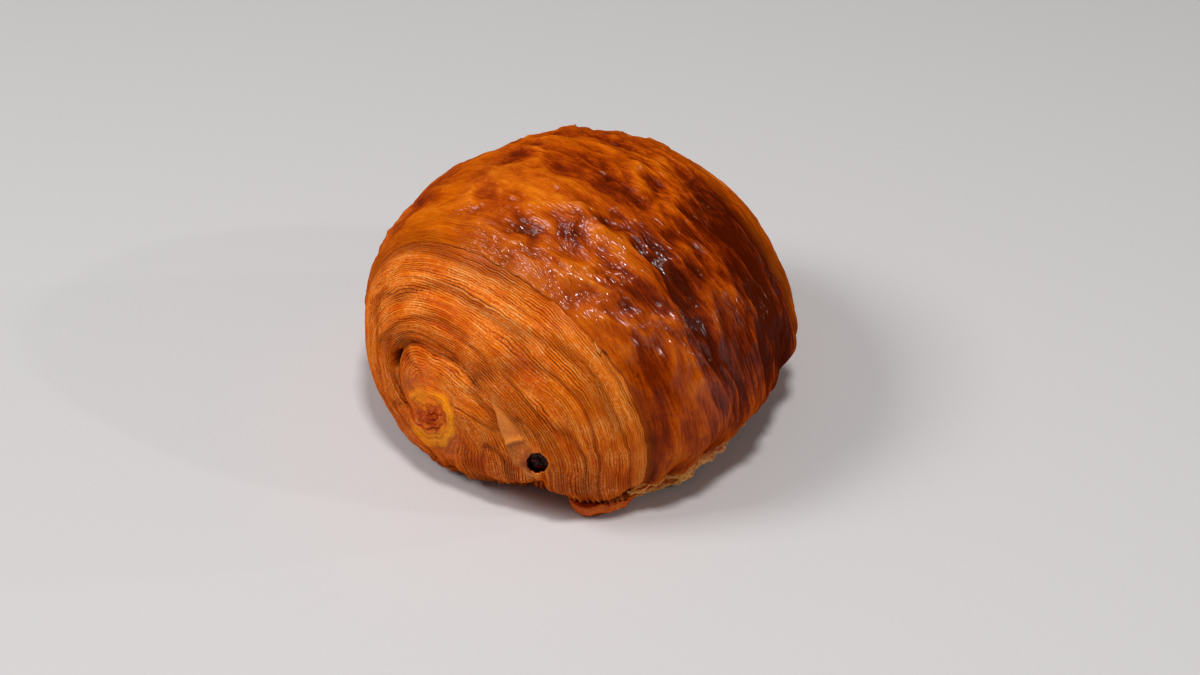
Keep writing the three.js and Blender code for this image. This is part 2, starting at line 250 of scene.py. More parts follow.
# %% Where the lip runs
LIP_CUT_TURN, LIP_CUT_WIDTH = 262.0, 19.0
LIP_WANDER, LIP_JAG, LIP_SNAG = 1.0, 0.45, 0.2
LIP_STEP = [(262, 0.25), (400, 0.02), (450, 0.02), (485, 0.4), (520, 0.85), (570, 0.6), (622, 0.25)]
ENDS = {
    "shown": {"sign": -1, "seed": 101, "shift": 0.0, "least_fade": 0.0, "carried": 15.0},
    "far": {"sign": 1, "seed": 211, "shift": -9.0, "least_fade": 0.85, "carried": 7.0},
}


def round_the_roll(turn, size):
    """Two coordinates on a circle, so that noise closes up after a full turn."""
    return size * np.cos(turn * DEG), size * np.sin(turn * DEG)


SLOWED = [(0, 0.0), (110, 0.0), (235, -45.0), (345, 0.0), (360, 0.0)]


def slowed_turn(turn):
    """The turn, slowed on the seam side, so that what is placed by it comes out longer there."""
    return turn + along(SLOWED, np.mod(turn, 360.0))


def lip_turn(turn):
    return wrapped(turn, LIP_CUT_TURN - 360) + 360


def lip_latitude(turn, end):
    line = spiral_latitude(lip_turn(turn))
    to_cut = LIP_CUT_WIDTH - np.abs(np.mod(turn - LIP_CUT_TURN + 180, 360) - 180)
    middle = (spiral_latitude(LIP_CUT_TURN) + spiral_latitude(LIP_CUT_TURN + 360)) / 2
    line = line + (middle - line) * smooth_step(0, LIP_CUT_WIDTH, to_cut) + end["shift"]
    for size, height, seed_step in ((3.2, LIP_WANDER, 0), (17.0, LIP_JAG, 1), (50.0, LIP_SNAG, 2)):
        line = line + height * noise(*round_the_roll(turn, size), 0.5, end["seed"] + seed_step)
    return line


def lip_step(turn):
    return along(LIP_STEP, lip_turn(turn))


print("lip latitude at the top of the shown end:", np.round(lip_latitude(np.array([90.0]), ENDS["shown"]), 1))

# %% [markdown]
# ## Large relief that the solids share
# Broad swells, the folds of the crust, a few named creases and bulges, and the foot of the seam side with
# its tail. These are the same values as in the solids, so the fine surface stays in the space that they hold.

# %% Swells, folds, creases and bulges
SWELL_CELL, SWELL_HEIGHT = 26.0, 1.2
FOLD_CELL_X, FOLDS_ROUND, FOLD_HEIGHT = 7.5, 13, 1.8
FOLD_WARP_CELL, FOLD_WARP = 17.0, 5.0
SEED_SWELL, SEED_FOLD, SEED_WARP = 11, 23, 37
CREASE_END_SHARE = 0.35
CREASES = [
    {"from": (-6, 84), "to": (-10.8, 104), "height": 1.9, "width": 3.4},
    {"from": (-10.8, 104), "to": (-20, 106), "height": 1.5, "width": 2.6},
    {"from": (-10.8, 104), "to": (-13.3, 115), "height": 1.7, "width": 2.6},
    {"from": (-22, 116), "to": (-23, 140), "height": 1.4, "width": 2.8},
    {"from": (-15, 126), "to": (-14, 152), "height": 1.3, "width": 2.6},
    {"from": (-4, 118), "to": (-2, 146), "height": 1.1, "width": 3.0},
    {"from": (7, 136), "to": (6, 160), "height": 1.2, "width": 2.8},
]
BULGES = [
    {"x": 30, "turn": 181, "height": 1.8, "size": 9},
    {"x": -18, "turn": 40, "height": -0.7, "size": 14},
    {"x": 22, "turn": 44, "height": -1.4, "size": 22},
    {"x": 22.6, "turn": 69, "height": 0.8, "size": 3},
    {"x": -22, "turn": 178, "height": 1.4, "size": 9},
    {"x": 14, "turn": 176, "height": -1.6, "size": 9},
]


def swell(point):
    return SWELL_HEIGHT * noise(*(point[..., n] / SWELL_CELL for n in range(3)), SEED_SWELL)


def folds(point, turn):
    warp = FOLD_WARP * noise(*(point[..., n] / FOLD_WARP_CELL for n in range(3)), SEED_WARP)
    wave = noise((point[..., 0] + warp) / FOLD_CELL_X, turn / 360 * FOLDS_ROUND, 0.5, SEED_FOLD, FOLDS_ROUND)
    return FOLD_HEIGHT * (0.5 - np.abs(wave))


def crease(shape, x, turn, mm_per_degree):
    start = np.stack(np.broadcast_arrays(shape["from"][0], shape["from"][1] * mm_per_degree), -1)
    end = np.stack(np.broadcast_arrays(shape["to"][0], shape["to"][1] * mm_per_degree), -1)
    line = end - start
    here = np.stack([x, turn * mm_per_degree], -1) - start
    t = np.clip((here * line).sum(-1) / (line * line).sum(-1), 0, 1)
    off = np.linalg.norm(here - line * t[..., None], axis=-1) / shape["width"]
    share = CREASE_END_SHARE + (1 - CREASE_END_SHARE) * np.sin(np.pi * t)
    return shape["height"] * share * (0.6 * np.exp(-off * off) + 0.5 * np.exp(-2.4 * off))


def bulges(x, turn, radius):
    height = np.zeros(np.shape(x))
    for bulge in BULGES:
        off = np.hypot(x - bulge["x"], (turn - bulge["turn"]) * DEG * radius) / bulge["size"]
        height = height + bulge["height"] * np.exp(-off * off)
    return height


def radius_from_axis(point):
    return np.hypot(point[..., 1] - AXIS_Y, point[..., 2] - BULGE_HEIGHT)


# %% The foot of the seam side
SEAM = {"from": -38, "to": 44, "fade": 9, "top": 6.5, "out": 1.0, "crevice": 1.9, "at": 8.6, "width": 1.6}
TUCKS = (
    {"x": -43.0, "y": -16.0, "depth": 4.4, "size": 11.0, "full_below": 5.0, "none_above": 13.0},
    {"x": -42.0, "y": -24.0, "depth": 5.0, "size": 7.0, "full_below": 6.0, "none_above": 14.0},
    {"x": -23.0, "y": -42.0, "depth": 3.6, "size": 9.0, "full_below": 5.0, "none_above": 14.0},
    {"x": 6.0, "y": -48.0, "depth": 6.4, "size": 27.0, "full_below": 4.0, "none_above": 25.0},
)


def foot_push(point):
    """How far the ledge, crevice and tucks stand out or in, level with the floor."""
    x, y, z = (point[..., n] for n in range(3))
    seam_side = smooth_step(-6, -16, y)
    stretch = smooth_step(SEAM["from"], SEAM["from"] + SEAM["fade"], x)
    stretch = stretch * smooth_step(SEAM["to"], SEAM["to"] - SEAM["fade"], x)
    sheet_out = SEAM["out"] * smooth_step(SEAM["top"] + 1, SEAM["top"] - 2, z)
    cut = (z - SEAM["at"]) / SEAM["width"]
    near_floor = smooth_step(12, 9, z)
    pushed = near_floor * seam_side * stretch * (sheet_out - SEAM["crevice"] * np.exp(-cut * cut))
    for tuck in TUCKS:
        off = np.hypot(x - tuck["x"], y - tuck["y"]) / tuck["size"]
        low = smooth_step(tuck["none_above"], tuck["full_below"], z)
        pushed = pushed - tuck["depth"] * np.exp(-off * off) * low
    return pushed


def settle(point, normal, height):
    """Raises the plain surface by height and rounds it on to the floor."""
    raised = point[..., 2] + height * normal[..., 2]
    resting = (raised + np.hypot(raised, FLOOR_EDGE_RADIUS)) / 2 - FLOOR_EDGE_DROP
    moved = np.stack([point[..., 0] + height * normal[..., 0], point[..., 1] + height * normal[..., 1], resting], -1)
    outward = normal * np.array([1.0, 1.0, 0.0])
    outward = outward / np.maximum(np.linalg.norm(outward, axis=-1, keepdims=True), 1e-6)
    return moved + outward * foot_push(moved)[..., None]


# %% [markdown]
# ## Meshes from rows and rings
# Each skin is a grid: rows run from tip to tip or from lip to lip, and each row is a closed ring round the
# roll. The columns are close together where the loaf is seen and wide apart underneath, where it is flat.
# Values that a material will need, such as where a gap between layers lies, are kept on the points.

# %% Columns round the roll and the mesh builder
COLUMN_DENSITY = [(0, 0.7), (40, 0.7), (60, 1.0), (222, 1.0), (240, 0.3), (312, 0.3), (330, 0.7), (360, 0.7)]


def columns(count):
    """Turns of the columns: closest together on the shown flank and widest apart underneath."""
    turns = np.linspace(0, 360, 3601)
    so_far = np.cumsum(along(COLUMN_DENSITY, turns))
    return np.interp(np.arange(count) / count, (so_far - so_far[0]) / (so_far[-1] - so_far[0]), turns)


def skin_mesh(name, points, values, first_tip=None, last_tip=None):
    """A mesh from points[row, column] in the plain body's millimetres; a tip closes an end with a fan."""
    rows, cols = points.shape[:2]
    corners = points.reshape(-1, 3)
    index = np.arange(rows * cols).reshape(rows, cols)
    beside = np.roll(index, -1, axis=1)
    faces = np.stack([index[:-1], beside[:-1], beside[1:], index[1:]], -1).reshape(-1, 4).tolist()
    flat_values = {k: np.broadcast_to(v, (rows, cols)).reshape(-1).astype(np.float32) for k, v in values.items()}
    for tip, edge, beside_edge in ((first_tip, beside[0], index[0]), (last_tip, index[-1], beside[-1])):
        if tip is None:
            continue
        faces += [(int(a), int(b), len(corners)) for a, b in zip(edge, beside_edge)]
        corners = np.vstack([corners, tip])
        flat_values = {k: np.append(v, v[edge].mean()) for k, v in flat_values.items()}
    mesh = bpy.data.meshes.new(name)
    mesh.from_pydata(((corners + TO_FRAME) * MM).tolist(), [], faces)
    for label, value in flat_values.items():
        mesh.attributes.new(label, "FLOAT", "POINT").data.foreach_set("value", value.astype(np.float32))
    mesh.polygons.foreach_set("use_smooth", [True] * len(mesh.polygons))
    mesh.update()
    piece = bpy.data.objects.new(name, mesh)
    bpy.context.scene.collection.objects.link(piece)
    print(name, len(corners), "points,", sum(len(f) - 2 for f in faces), "triangles")
    return piece


# %% [markdown]
# ## The cut layers of an end
# Lamination leaves dozens of thin sheets of dough with butter between them. At the ends they are seen edge
# on, as fine strands that run with the spiral. Their count from the groove to the lip stays the same all
# the way round, so the strands lie parallel to both. Each strand gets its own height, strands gather in
# bundles, and a slow wander keeps them from looking combed. Paint alone would be flat here, so the strands
# are real ridges.

# %% Strands of the cut layers
LAYERS_TO_LIP, INNER_LAYER = 44.0, 0.7
STRAND_HEIGHT, BUNDLE_HEIGHT, BUNDLE_LAYERS = 0.32, 0.36, 6.5
HANG_BELOW, HANG_SOFT, HANG_FROM, HANG_FULL = 7.0, 3.0, 4.0, -5.0


def layer_count(end_latitude, turn, lip):
    """Layers from the groove, counted outward; negative inside the groove."""
    from_tip, lip_at = end_length(end_latitude), end_length(lip)
    groove_at = end_length(spiral_latitude(wrapped(turn, LIP_CUT_TURN - 360)))
    outer = (from_tip - groove_at) / np.maximum(lip_at - groove_at, 4.0) * LAYERS_TO_LIP
    inner = (from_tip - groove_at) / INNER_LAYER
    return np.where(from_tip > groove_at, outer, inner)


def bent_layers(layer, turn, seed):
    """The layer count with a slow wander and a quick waver, so that strands meet and part."""
    slow, middle, quick = (round_the_roll(turn, size) for size in (2.2, 7.0, 21.0))
    bent = layer + 1.7 * noise(*slow, layer * 0.12, seed) + 0.5 * noise(*middle, layer * 0.30, seed + 1)
    return bent + 0.16 * noise(*quick, layer * 0.7, seed + 5)


def hanging(end_latitude, turn):
    """Where to read the layers: under the tip they hang straight down instead of curling under the loaf."""
    from_tip = end_length(end_latitude)
    across, upward = from_tip * np.cos(turn * DEG), from_tip * np.sin(turn * DEG)
    level = (upward - HANG_BELOW + np.hypot(upward + HANG_BELOW, HANG_SOFT)) / 2
    upward = upward + (level - upward) * smooth_step(HANG_FROM, HANG_FULL, across)
    return latitude_at(np.hypot(across, upward)), np.arctan2(upward, across) / DEG


def strands(bent, turn, seed):
    """Height from 0 to 1, strength of the dark line and tone of the strands."""
    number = np.floor(bent)
    across = np.abs(2 * (bent - number) - 1)
    own = 0.5 + 0.5 * noise(*round_the_roll(turn, 6.0), number * 3.7, seed + 2)
    puffs = 0.5 + 0.5 * noise(*round_the_roll(turn, 24.0), number * 2.9, seed + 7)
    height = (1 - across**2.4) * (0.25 + 0.5 * own + 0.35 * puffs)
    strength = 0.5 + 0.5 * noise(*round_the_roll(turn, 5.5), number * 1.9, seed + 3)
    tone = 0.5 + 0.5 * noise(*round_the_roll(turn, 4.0), number * 5.3, seed + 4)
    return height, 0.18 + 0.82 * smooth_step(0.3, 0.8, strength), tone


def bundles(bent, turn, seed):
    """Deeper valleys every few layers, where bundles of layers part."""
    wave = noise(*round_the_roll(turn, 1.7), bent / BUNDLE_LAYERS, seed + 14)
    return np.minimum(np.abs(wave) * 4.5, 1)


# %% [markdown]
# ## The snail at the tip
# The very middle of the roll is one fat, smooth curl. It swelled out of the end and took a brush of egg, so
# it is glossy: an orange dome beside the slot, bright yellow where the egg pooled in an arc round the middle,
# and red-brown in the nucleus. Its crease comes down from the slot on the plain side and winds under the tip
# into the middle. Everything here is placed by turn and by millimetres from the tip.

# %% The snail
SNAIL_LINE = [
    (-400, 1.2), (-356, 2.6), (-300, 3.8), (-246, 4.6), (-226, 4.1), (-180, 3.2), (-131, 3.0), (-97, 4.9),
    (-69, 7.6), (-50, 9.3), (-34, 9.4), (-14, 10.6), (6, 11.7), (24, 13.2), (34, 14.6),
]
SNAIL_LINE_WIDTH, SNAIL_LINE_DEPTH = 0.5, 0.7
NUCLEUS_EDGE = [
    (-180, 3.2), (-131, 3.0), (-97, 4.9), (-69, 7.6), (-50, 9.3), (-36, 8.7), (-20, 4.5), (4, 2.6), (60, 3.2),
    (114, 4.6), (134, 4.1), (180, 3.2),
]
EGG_EDGE = [
    (-180, 5.3), (-130, 7.1), (-98, 12.0), (-80, 16.0), (-63, 15.0), (-50, 11.5), (-38, 9.0), (-20, 7.0), (10, 8.5),
    (36, 7.2), (90, 7.0), (114, 8.2), (138, 6.8), (174, 5.3), (180, 5.3),
]
EGG_STRENGTH = [(-180, 1.0), (-95, 1.15), (-70, 1.1), (-45, 0.6), (-30, 0.1), (-5, 0.0), (20, 0.8), (100, 1.0), (180, 1.0)]
SNAIL_EDGE = [
    (-180, 5.9), (-124, 9.8), (-104, 16.0), (-90, 20.0), (-70, 16.0), (-50, 11.5), (-20, 9.5), (6, 11.0), (24, 13.0),
    (54, 16.0), (84, 17.6), (100, 9.8), (117, 8.8), (139, 7.4), (180, 5.9),
]
COIL_STEP, SNAIL_BULGE, SWIRL_HEIGHT, INNER_COILS = 0.35, 0.6, 0.2, (0.74, 0.48)


def snail(end_latitude, turn):
    """Relief, smooth mask, yellow mask and red-brown mask round the tip."""
    from_tip = end_length(end_latitude)
    half_turn = wrapped(turn, -180)
    uneven = noise(*round_the_roll(turn, 1.6), from_tip / 4, 71)
    edge = along(SNAIL_EDGE, half_turn) + 0.6 * uneven
    melting = smooth_step(20, 50, half_turn) * smooth_step(125, 95, half_turn)
    inside = smooth_step(edge + 0.9, edge - 1.2 - 8.5 * melting, from_tip)
    line = np.zeros(from_tip.shape)
    for lap in (0, -360):
        line_turn = wrapped(turn, -326) + lap
        shown = smooth_step(-250, -80, line_turn) * smooth_step(36, 22, line_turn)
        at = along(SNAIL_LINE, line_turn)
        line = np.maximum(line, shown * np.exp(-(((from_tip - at) / SNAIL_LINE_WIDTH) ** 2)))
        for share in INNER_COILS:
            inner = 0.5 * smooth_step(-260, -180, line_turn) * smooth_step(-30, -90, line_turn)
            line = np.maximum(line, inner * np.exp(-(((from_tip - share * at) / (0.7 * SNAIL_LINE_WIDTH)) ** 2)))
    egg_edge = along(EGG_EDGE, half_turn) + 0.3 * uneven
    core_edge = along(NUCLEUS_EDGE, half_turn) + 0.3 * uneven
    outer = smooth_step(80, 110, half_turn) + smooth_step(-105, -135, half_turn)
    blur = 1.6 - 0.7 * outer
    egg = smooth_step(egg_edge + blur, egg_edge - blur, from_tip)
    core = smooth_step(core_edge + 1.6, core_edge - 2.4, from_tip)
    share = from_tip / egg_edge
    swirl = noise(*round_the_roll(turn, 1.3), share * 6, 74) + 0.6 * noise(*round_the_roll(turn, 2.6), share * 13, 75)
    arcs = noise(*round_the_roll(turn, 1.1), share * 26, 76)
    relief = inside * SNAIL_BULGE * (1 - (from_tip / edge) ** 2) + COIL_STEP * egg - SNAIL_LINE_DEPTH * line
    relief = relief + SWIRL_HEIGHT * (swirl + 0.6 * arcs) * egg
    rim = 0.45 * outer * np.exp(-(((share - 0.93) / 0.08) ** 2))
    yellow = egg * along(EGG_STRENGTH, half_turn) * (1 - core) * (0.56 + 0.4 * swirl + 0.35 * arcs + rim) * (1 - line)
    red = np.clip(core * (0.45 - 0.7 * swirl - 0.4 * arcs) + 0.7 * line, 0, 1)
    return relief, inside, np.clip(yellow, 0, 1), red


# %% [markdown]
# ## Smooth membrane and the mouth of the chocolate
# Between the groove and the chocolate one thin sheet was pulled across the gap and baked smooth: a narrow
# triangle, creased once. It ends at the mouth, a small uneven hole whose wall follows the baton. Where the
# dough leans away from the baton, the hole would be much deeper on one side, so a plane fitted to the dough
# round the mouth gives the slope at which the chocolate ends.

# %% Membrane and mouth
MEMBRANE = {"apex": (-68.0, 133.0), "end": (-64.5, 187.0), "narrow": 0.5, "wide": 4.1, "height": 0.32}
MEMBRANE_CREASE = {"at": 0.66, "width": 0.035, "height": 0.5}
MOUTH = {"half_width": 2.5, "half_height": 2.6, "depth": 5.0, "flare": 0.6, "right": -0.3, "up": 0.1}
MOUTH_WALL, MOUTH_RIM, MOUTH_RIM_HEIGHT = 0.5, 1.0, 0.35
MOUTH_RIGHT, MOUTH_UP = np.array([0.632, -0.775, 0.0]), np.array([0.482, 0.393, 0.783])


def membrane(point, seed):
    """Mask of the membrane, its share of the way to the mouth, and its relief."""
    apex, end = (plain_point(*(np.array(v) for v in MEMBRANE[key])) for key in ("apex", "end"))
    reach = np.linalg.norm(end - apex)
    axis = (end - apex) / reach
    here = point - apex
    share = (here @ axis) / reach
    aside = here - (here @ axis)[..., None] * axis
    off = np.linalg.norm(aside, axis=-1)
    soft_side = smooth_step(-0.5, 0.5, aside @ MOUTH_RIGHT)
    half = MEMBRANE["narrow"] + (MEMBRANE["wide"] - MEMBRANE["narrow"]) * np.clip(share, 0, 1)
    half = half + 0.5 * noise(share * 9, off * 0, 0.5, seed)
    mask = smooth_step(0.25 + 0.5 * soft_side, -0.2 - 1.2 * soft_side, off - half) * smooth_step(-0.02, 0.02, share) * smooth_step(1.08, 0.98, share)
    fold = (share - MEMBRANE_CREASE["at"] - 0.012 * off) / MEMBRANE_CREASE["width"]
    soft = 0.22 * noise(share * 7, off / 2.2, 0.5, seed + 1)
    relief = MEMBRANE["height"] + MEMBRANE_CREASE["height"] * np.exp(-fold * fold) + soft
    return mask, share, relief


def mouth_plane():
    """The slope of the dough round the baton: x = a + b dy + c dz, by least squares."""
    latitude, turn = np.meshgrid(np.arange(-72.0, -50, 0.5), np.arange(165.0, 206, 0.5), indexing="ij")
    point = plain_point(latitude, turn)
    dy, dz = point[..., 1] - BATON["y"], point[..., 2] - BATON["z"]
    near = np.hypot(dy / BATON["half_width"], dz / BATON["half_height"]) < 1.5
    terms = np.stack([np.ones(near.sum()), dy[near], dz[near]], -1)
    return np.linalg.lstsq(terms, point[near][:, 0], rcond=None)[0]


MOUTH_X = mouth_plane()[0]
print("the dough at the mouth lies at x =", round(MOUTH_X, 1))


def mouth_place(point):
    """Millimetres to the right of and above the mouth's middle, seen along the slope that it faces."""
    from_middle = point - np.array([MOUTH_X, BATON["y"], BATON["z"]])
    return from_middle @ MOUTH_RIGHT - MOUTH["right"], from_middle @ MOUTH_UP - MOUTH["up"]


def mouth_distance(point):
    """Distance from the middle of the mouth, as a share of its uneven outline."""
    right, up = mouth_place(point)
    angle = np.arctan2(up, right)
    uneven = 1 + 0.05 * np.sin(2 * angle + 0.6) + 0.05 * np.sin(3 * angle + 2.1) + 0.02 * np.sin(7 * angle)
    return np.hypot(right / MOUTH["half_width"], up / MOUTH["half_height"]) / uneven


# %% [markdown]
# ## One end of the loaf
# The end skin runs from the tip to just under the lip. Besides its strands it has the spiral's groove and
# ledge, the dark slot between two layers, the mouth round the chocolate, and a plain pale strip below the
# lip, where the last sheet was pulled smooth. High on the plain side the crust has no sharp lip: the egg
# wash ran over the layers there, so both skins fade into each other.

# %% End skins
SLOT = {"turn": 33.0, "spread": 11.0, "depth": 5.5, "width": 0.6, "inside": -0.2}
STRIP_WIDTH, STRIP_FADE = 2.7, 1.8
STRIP_TURNS = [(262, 0.0), (470, 0.0), (505, 1.0), (600, 1.0), (622, 0.0)]
BAND_WIDTH = 5.6
TUCK, TUCK_DEPTH = 1.6, 0.9
FADE_OUT = [(262, 0.9), (438, 0.9), (480, 0.25), (500, 0.0), (600, 0.0), (622, 0.9)]
END_MESH = {"shown": (232, 425), "far": (150, 340)}
TAIL_CREVICE = {"from": -38.0, "to": -15.0, "fade": 4.0, "z": 5.7, "depth": 1.9, "width": 1.0}
FRINGE_TOP, FRINGE_STRANDS, FRINGE_BUNDLES, FRINGE_COMB, FRINGE_DEPTH = 10.0, 0.8, 2.0, 2.6, 1.5


def lip_fade(turn, end):
    """How far crust and layers fade into each other at the lip of an end."""
    return np.maximum(along(FADE_OUT, lip_turn(turn)), end["least_fade"])


def tail_crevice(point):
    """Mask of the crevice between the foot and the tail that lies under it."""
    x, y, z = (point[..., n] for n in range(3))
    reach = smooth_step(TAIL_CREVICE["from"], TAIL_CREVICE["from"] + TAIL_CREVICE["fade"], x)
    reach = reach * smooth_step(TAIL_CREVICE["to"], TAIL_CREVICE["to"] - TAIL_CREVICE["fade"], x)
    off = (z - TAIL_CREVICE["z"]) / TAIL_CREVICE["width"]
    return reach * smooth_step(-18, -24, y) * np.exp(-off * off)


def end_surface(end_latitude, turn, lip, end):
    """Points of an end skin and the values that its material reads."""
    sign, seed = end["sign"], end["seed"]
    shown = sign < 0
    latitude = -sign * end_latitude
    point, normal = plain_point(latitude, turn), plain_normal(latitude, turn)
    line_turn = wrapped(turn, SPIRAL_START_TURN)
    past_mm = end_length(end_latitude) - end_length(spiral_latitude(wrapped(turn, LIP_CUT_TURN - 360)))
    below_lip = end_length(lip) - end_length(end_latitude)
    height = swell(point)
    clear = smooth_step(1.3, 3.0, mouth_distance(point)) if shown else 1.0
    for groove_turn in (line_turn, line_turn + 360):
        height = height + clear * groove(end_latitude - spiral_latitude(groove_turn), groove_turn)
    height = height + ledge(end_latitude - spiral_latitude(line_turn), line_turn, 1.4)
    layer_latitude, layer_turn = hanging(end_latitude, turn)
    layer = bent_layers(layer_count(layer_latitude, layer_turn, lip_latitude(layer_turn, end)), layer_turn, seed)
    strand, line, tone = strands(layer, turn, seed)
    bundle = bundles(layer, layer_turn, seed)
    snail_relief, smooth, yellow, snail_red = snail(end_latitude, turn)
    strip = smooth_step(STRIP_WIDTH + STRIP_FADE, STRIP_WIDTH - STRIP_FADE, below_lip)
    strip = strip * (0.65 + 0.35 * noise(*round_the_roll(turn, 9.0), below_lip * 0.5, seed + 6))
    strip = strip * along(STRIP_TURNS, lip_turn(turn))
    free = (1 - 0.6 * strip) * (1 - 0.6 * smooth)
    height = height + snail_relief
    band = smooth_step(0.2, 1.2, past_mm) * smooth_step(BAND_WIDTH + 1.5, BAND_WIDTH - 2, past_mm)
    band = band * smooth_step(0, 40, line_turn) * smooth_step(235, 190, line_turn)
    settled = settle(point, normal, height)
    mouth = mouth_distance(settled) if shown else np.full(height.shape, 9.0)
    skin, skin_share, skin_relief = membrane(point, seed + 9) if shown else (height * 0, height * 0, height * 0)
    right, up = mouth_place(settled)
    beside, below = -right / MOUTH["half_width"], -up / MOUTH["half_height"]
    lining = smooth_step(1.9, 1.3, mouth) * smooth_step(0.1, 0.8, beside)
    tongue = np.exp(-(((mouth - 1.35) / 0.2) ** 2)) * smooth_step(0.2, 0.9, below) * smooth_step(-0.7, 0.0, beside)
    rim_line = np.exp(-(((mouth - 1.08) / 0.07) ** 2)) * smooth_step(0.4, -0.2, beside)
    # The pale line along the membrane's crease is a painted highlight; it joins the pale tongue and rim line by the
    # mouth.
    crease_highlight = skin * np.exp(-(((skin_share - MEMBRANE_CREASE["at"]) / 0.03) ** 2))
    pale_rim_and_highlight = np.clip(tongue + 0.7 * rim_line + 0.8 * crease_highlight, 0, 1)
    plain = np.maximum(skin, lining)
    free = free * (1 - plain)
    fringe = smooth_step(FRINGE_TOP, 2.0, point[..., 2])
    comb = np.abs(np.sin(np.pi * layer / FRINGE_COMB))
    strand_height = STRAND_HEIGHT * (1 + 0.7 * band + FRINGE_STRANDS * fringe)
    height = height + free * (strand_height * strand + BUNDLE_HEIGHT * (1 + FRINGE_BUNDLES * fringe) * (bundle - 0.8))
    height = height + free * fringe * FRINGE_DEPTH * (comb - 0.6)
    height = height + skin * skin_relief
    rim = (mouth - 1) * MOUTH["half_width"] / MOUTH_RIM
    height = height + MOUTH_RIM_HEIGHT * np.exp(-rim * rim) * (mouth > 1)
    shaped = settle(point, normal, height)
    crevice = tail_crevice(shaped) * shown
    shaped[..., :2] -= (TAIL_CREVICE["depth"] * crevice)[..., None] * normal[..., :2]
    slot_off = (wrapped(turn, -144) - SLOT["turn"]) / SLOT["spread"]
    slot = np.exp(-slot_off**4) * np.exp(-((past_mm + SLOT["inside"]) / SLOT["width"]) ** 6) * shown
    hole = smooth_step(1.0, 1 - MOUTH_WALL / MOUTH["half_width"], mouth)
    shaped[..., 0] -= sign * (SLOT["depth"] * slot + MOUTH["depth"] * hole)
    flare = MOUTH["flare"] * smooth_step(0.0, 0.3, hole)
    shaped[..., 1] += flare * (shaped[..., 1] - BATON["y"])
    shaped[..., 2] += flare * (shaped[..., 2] - BATON["z"])
    values = {
        # gap also takes in the tail crevice, which is pushed in and also painted dark as shade.
        "gap": np.clip(free * (0.6 * (1 - bundle) + 1.8 * fringe * (1 - comb) ** 2) + 0.9 * crevice, 0, 1),
        "line": free * line, "tone": tone, "low": smooth_step(34, 12, shaped[..., 2]),
        "strip": strip, "band": band, "lining": lining,
        "smooth": smooth, "yellow": yellow, "snail_red": snail_red, "layer": layer,
        # shade: the slot and the wall of the mouth are painted dark as shade.
        "shade": np.clip(smooth_step(0.2, 0.6, slot) + smooth_step(0.0, 0.25, hole), 0, 1), "pale_rim_and_highlight": pale_rim_and_highlight,
        "plain": plain, "skin_share": skin * smooth_step(0.6, 0.75, skin_share) + lining * (1 - skin),
        "fade": lip_fade(turn, end) * smooth_step(9.0, 0.0, below_lip), "near_floor": smooth_step(12, 1, shaped[..., 2]),
    }
    return shaped, values


def end_skin(label):
    end = ENDS[label]
    rows, count = END_MESH[label]
    turn = columns(count)[None, :]
    lip = lip_latitude(turn, end)
    share = (np.arange(1, rows + 1) / rows)[:, None]
    end_latitude = latitude_at((length_at(lip) + TUCK) * share)
    points, values = end_surface(end_latitude, turn, lip, end)
    sink = TUCK_DEPTH * smooth_step(0.0, TUCK, length_at(end_latitude) - length_at(lip))
    points = points - plain_normal(-end["sign"] * end_latitude, turn) * sink[..., None]
    values["turn_cos"], values["turn_sin"] = round_the_roll(slowed_turn(turn), 1.0)
    tip = end_surface(np.array([[-90.0]]), np.array([[0.0]]), np.array([[-38.0]]), end)[0][0, 0]
    if end["sign"] < 0:
        return skin_mesh(f"{label}_end", points, values, first_tip=tip)
    values = {key: np.broadcast_to(v, points.shape[:2])[::-1] for key, v in values.items()}
    return skin_mesh(f"{label}_end", points[::-1], values, last_tip=tip)


shown_end = end_skin("shown")
far_end = end_skin("far")

# %% [markdown]
# ## The crust
# The outer sheet was brushed with egg and baked hard while the dough under it sank back a little, so the
# skin wrinkled like foil. Its folds run round the roll with smooth floors, and their crests are crinkled, in
# patches between quieter bulges. Three sizes of ridged noise make them, each bent by a slower noise, on a grid
# fine enough to hold them as real relief; rows are closer than columns, because the folds cross the rows.
# Only what is finer than half a millimetre is left to the material. High on the plain side the strands of the
# cut layers run on under the egg wash, so they are carried a little way into the crust.

# %% Crust skin
CRUST_ROWS, CRUST_COLUMNS = 206, 450
RIM_ROWS = ((0.9, 1.0), (0.12, 1.0), (0.0, 0.75), (0.0, 0.45), (0.06, 0.22), (0.2, 0.08), (0.45, 0.0))
RIM_EXTRA_DEPTH, RIM_SPAN, CALM_LENGTH = 0.5, 0.45, 10.0
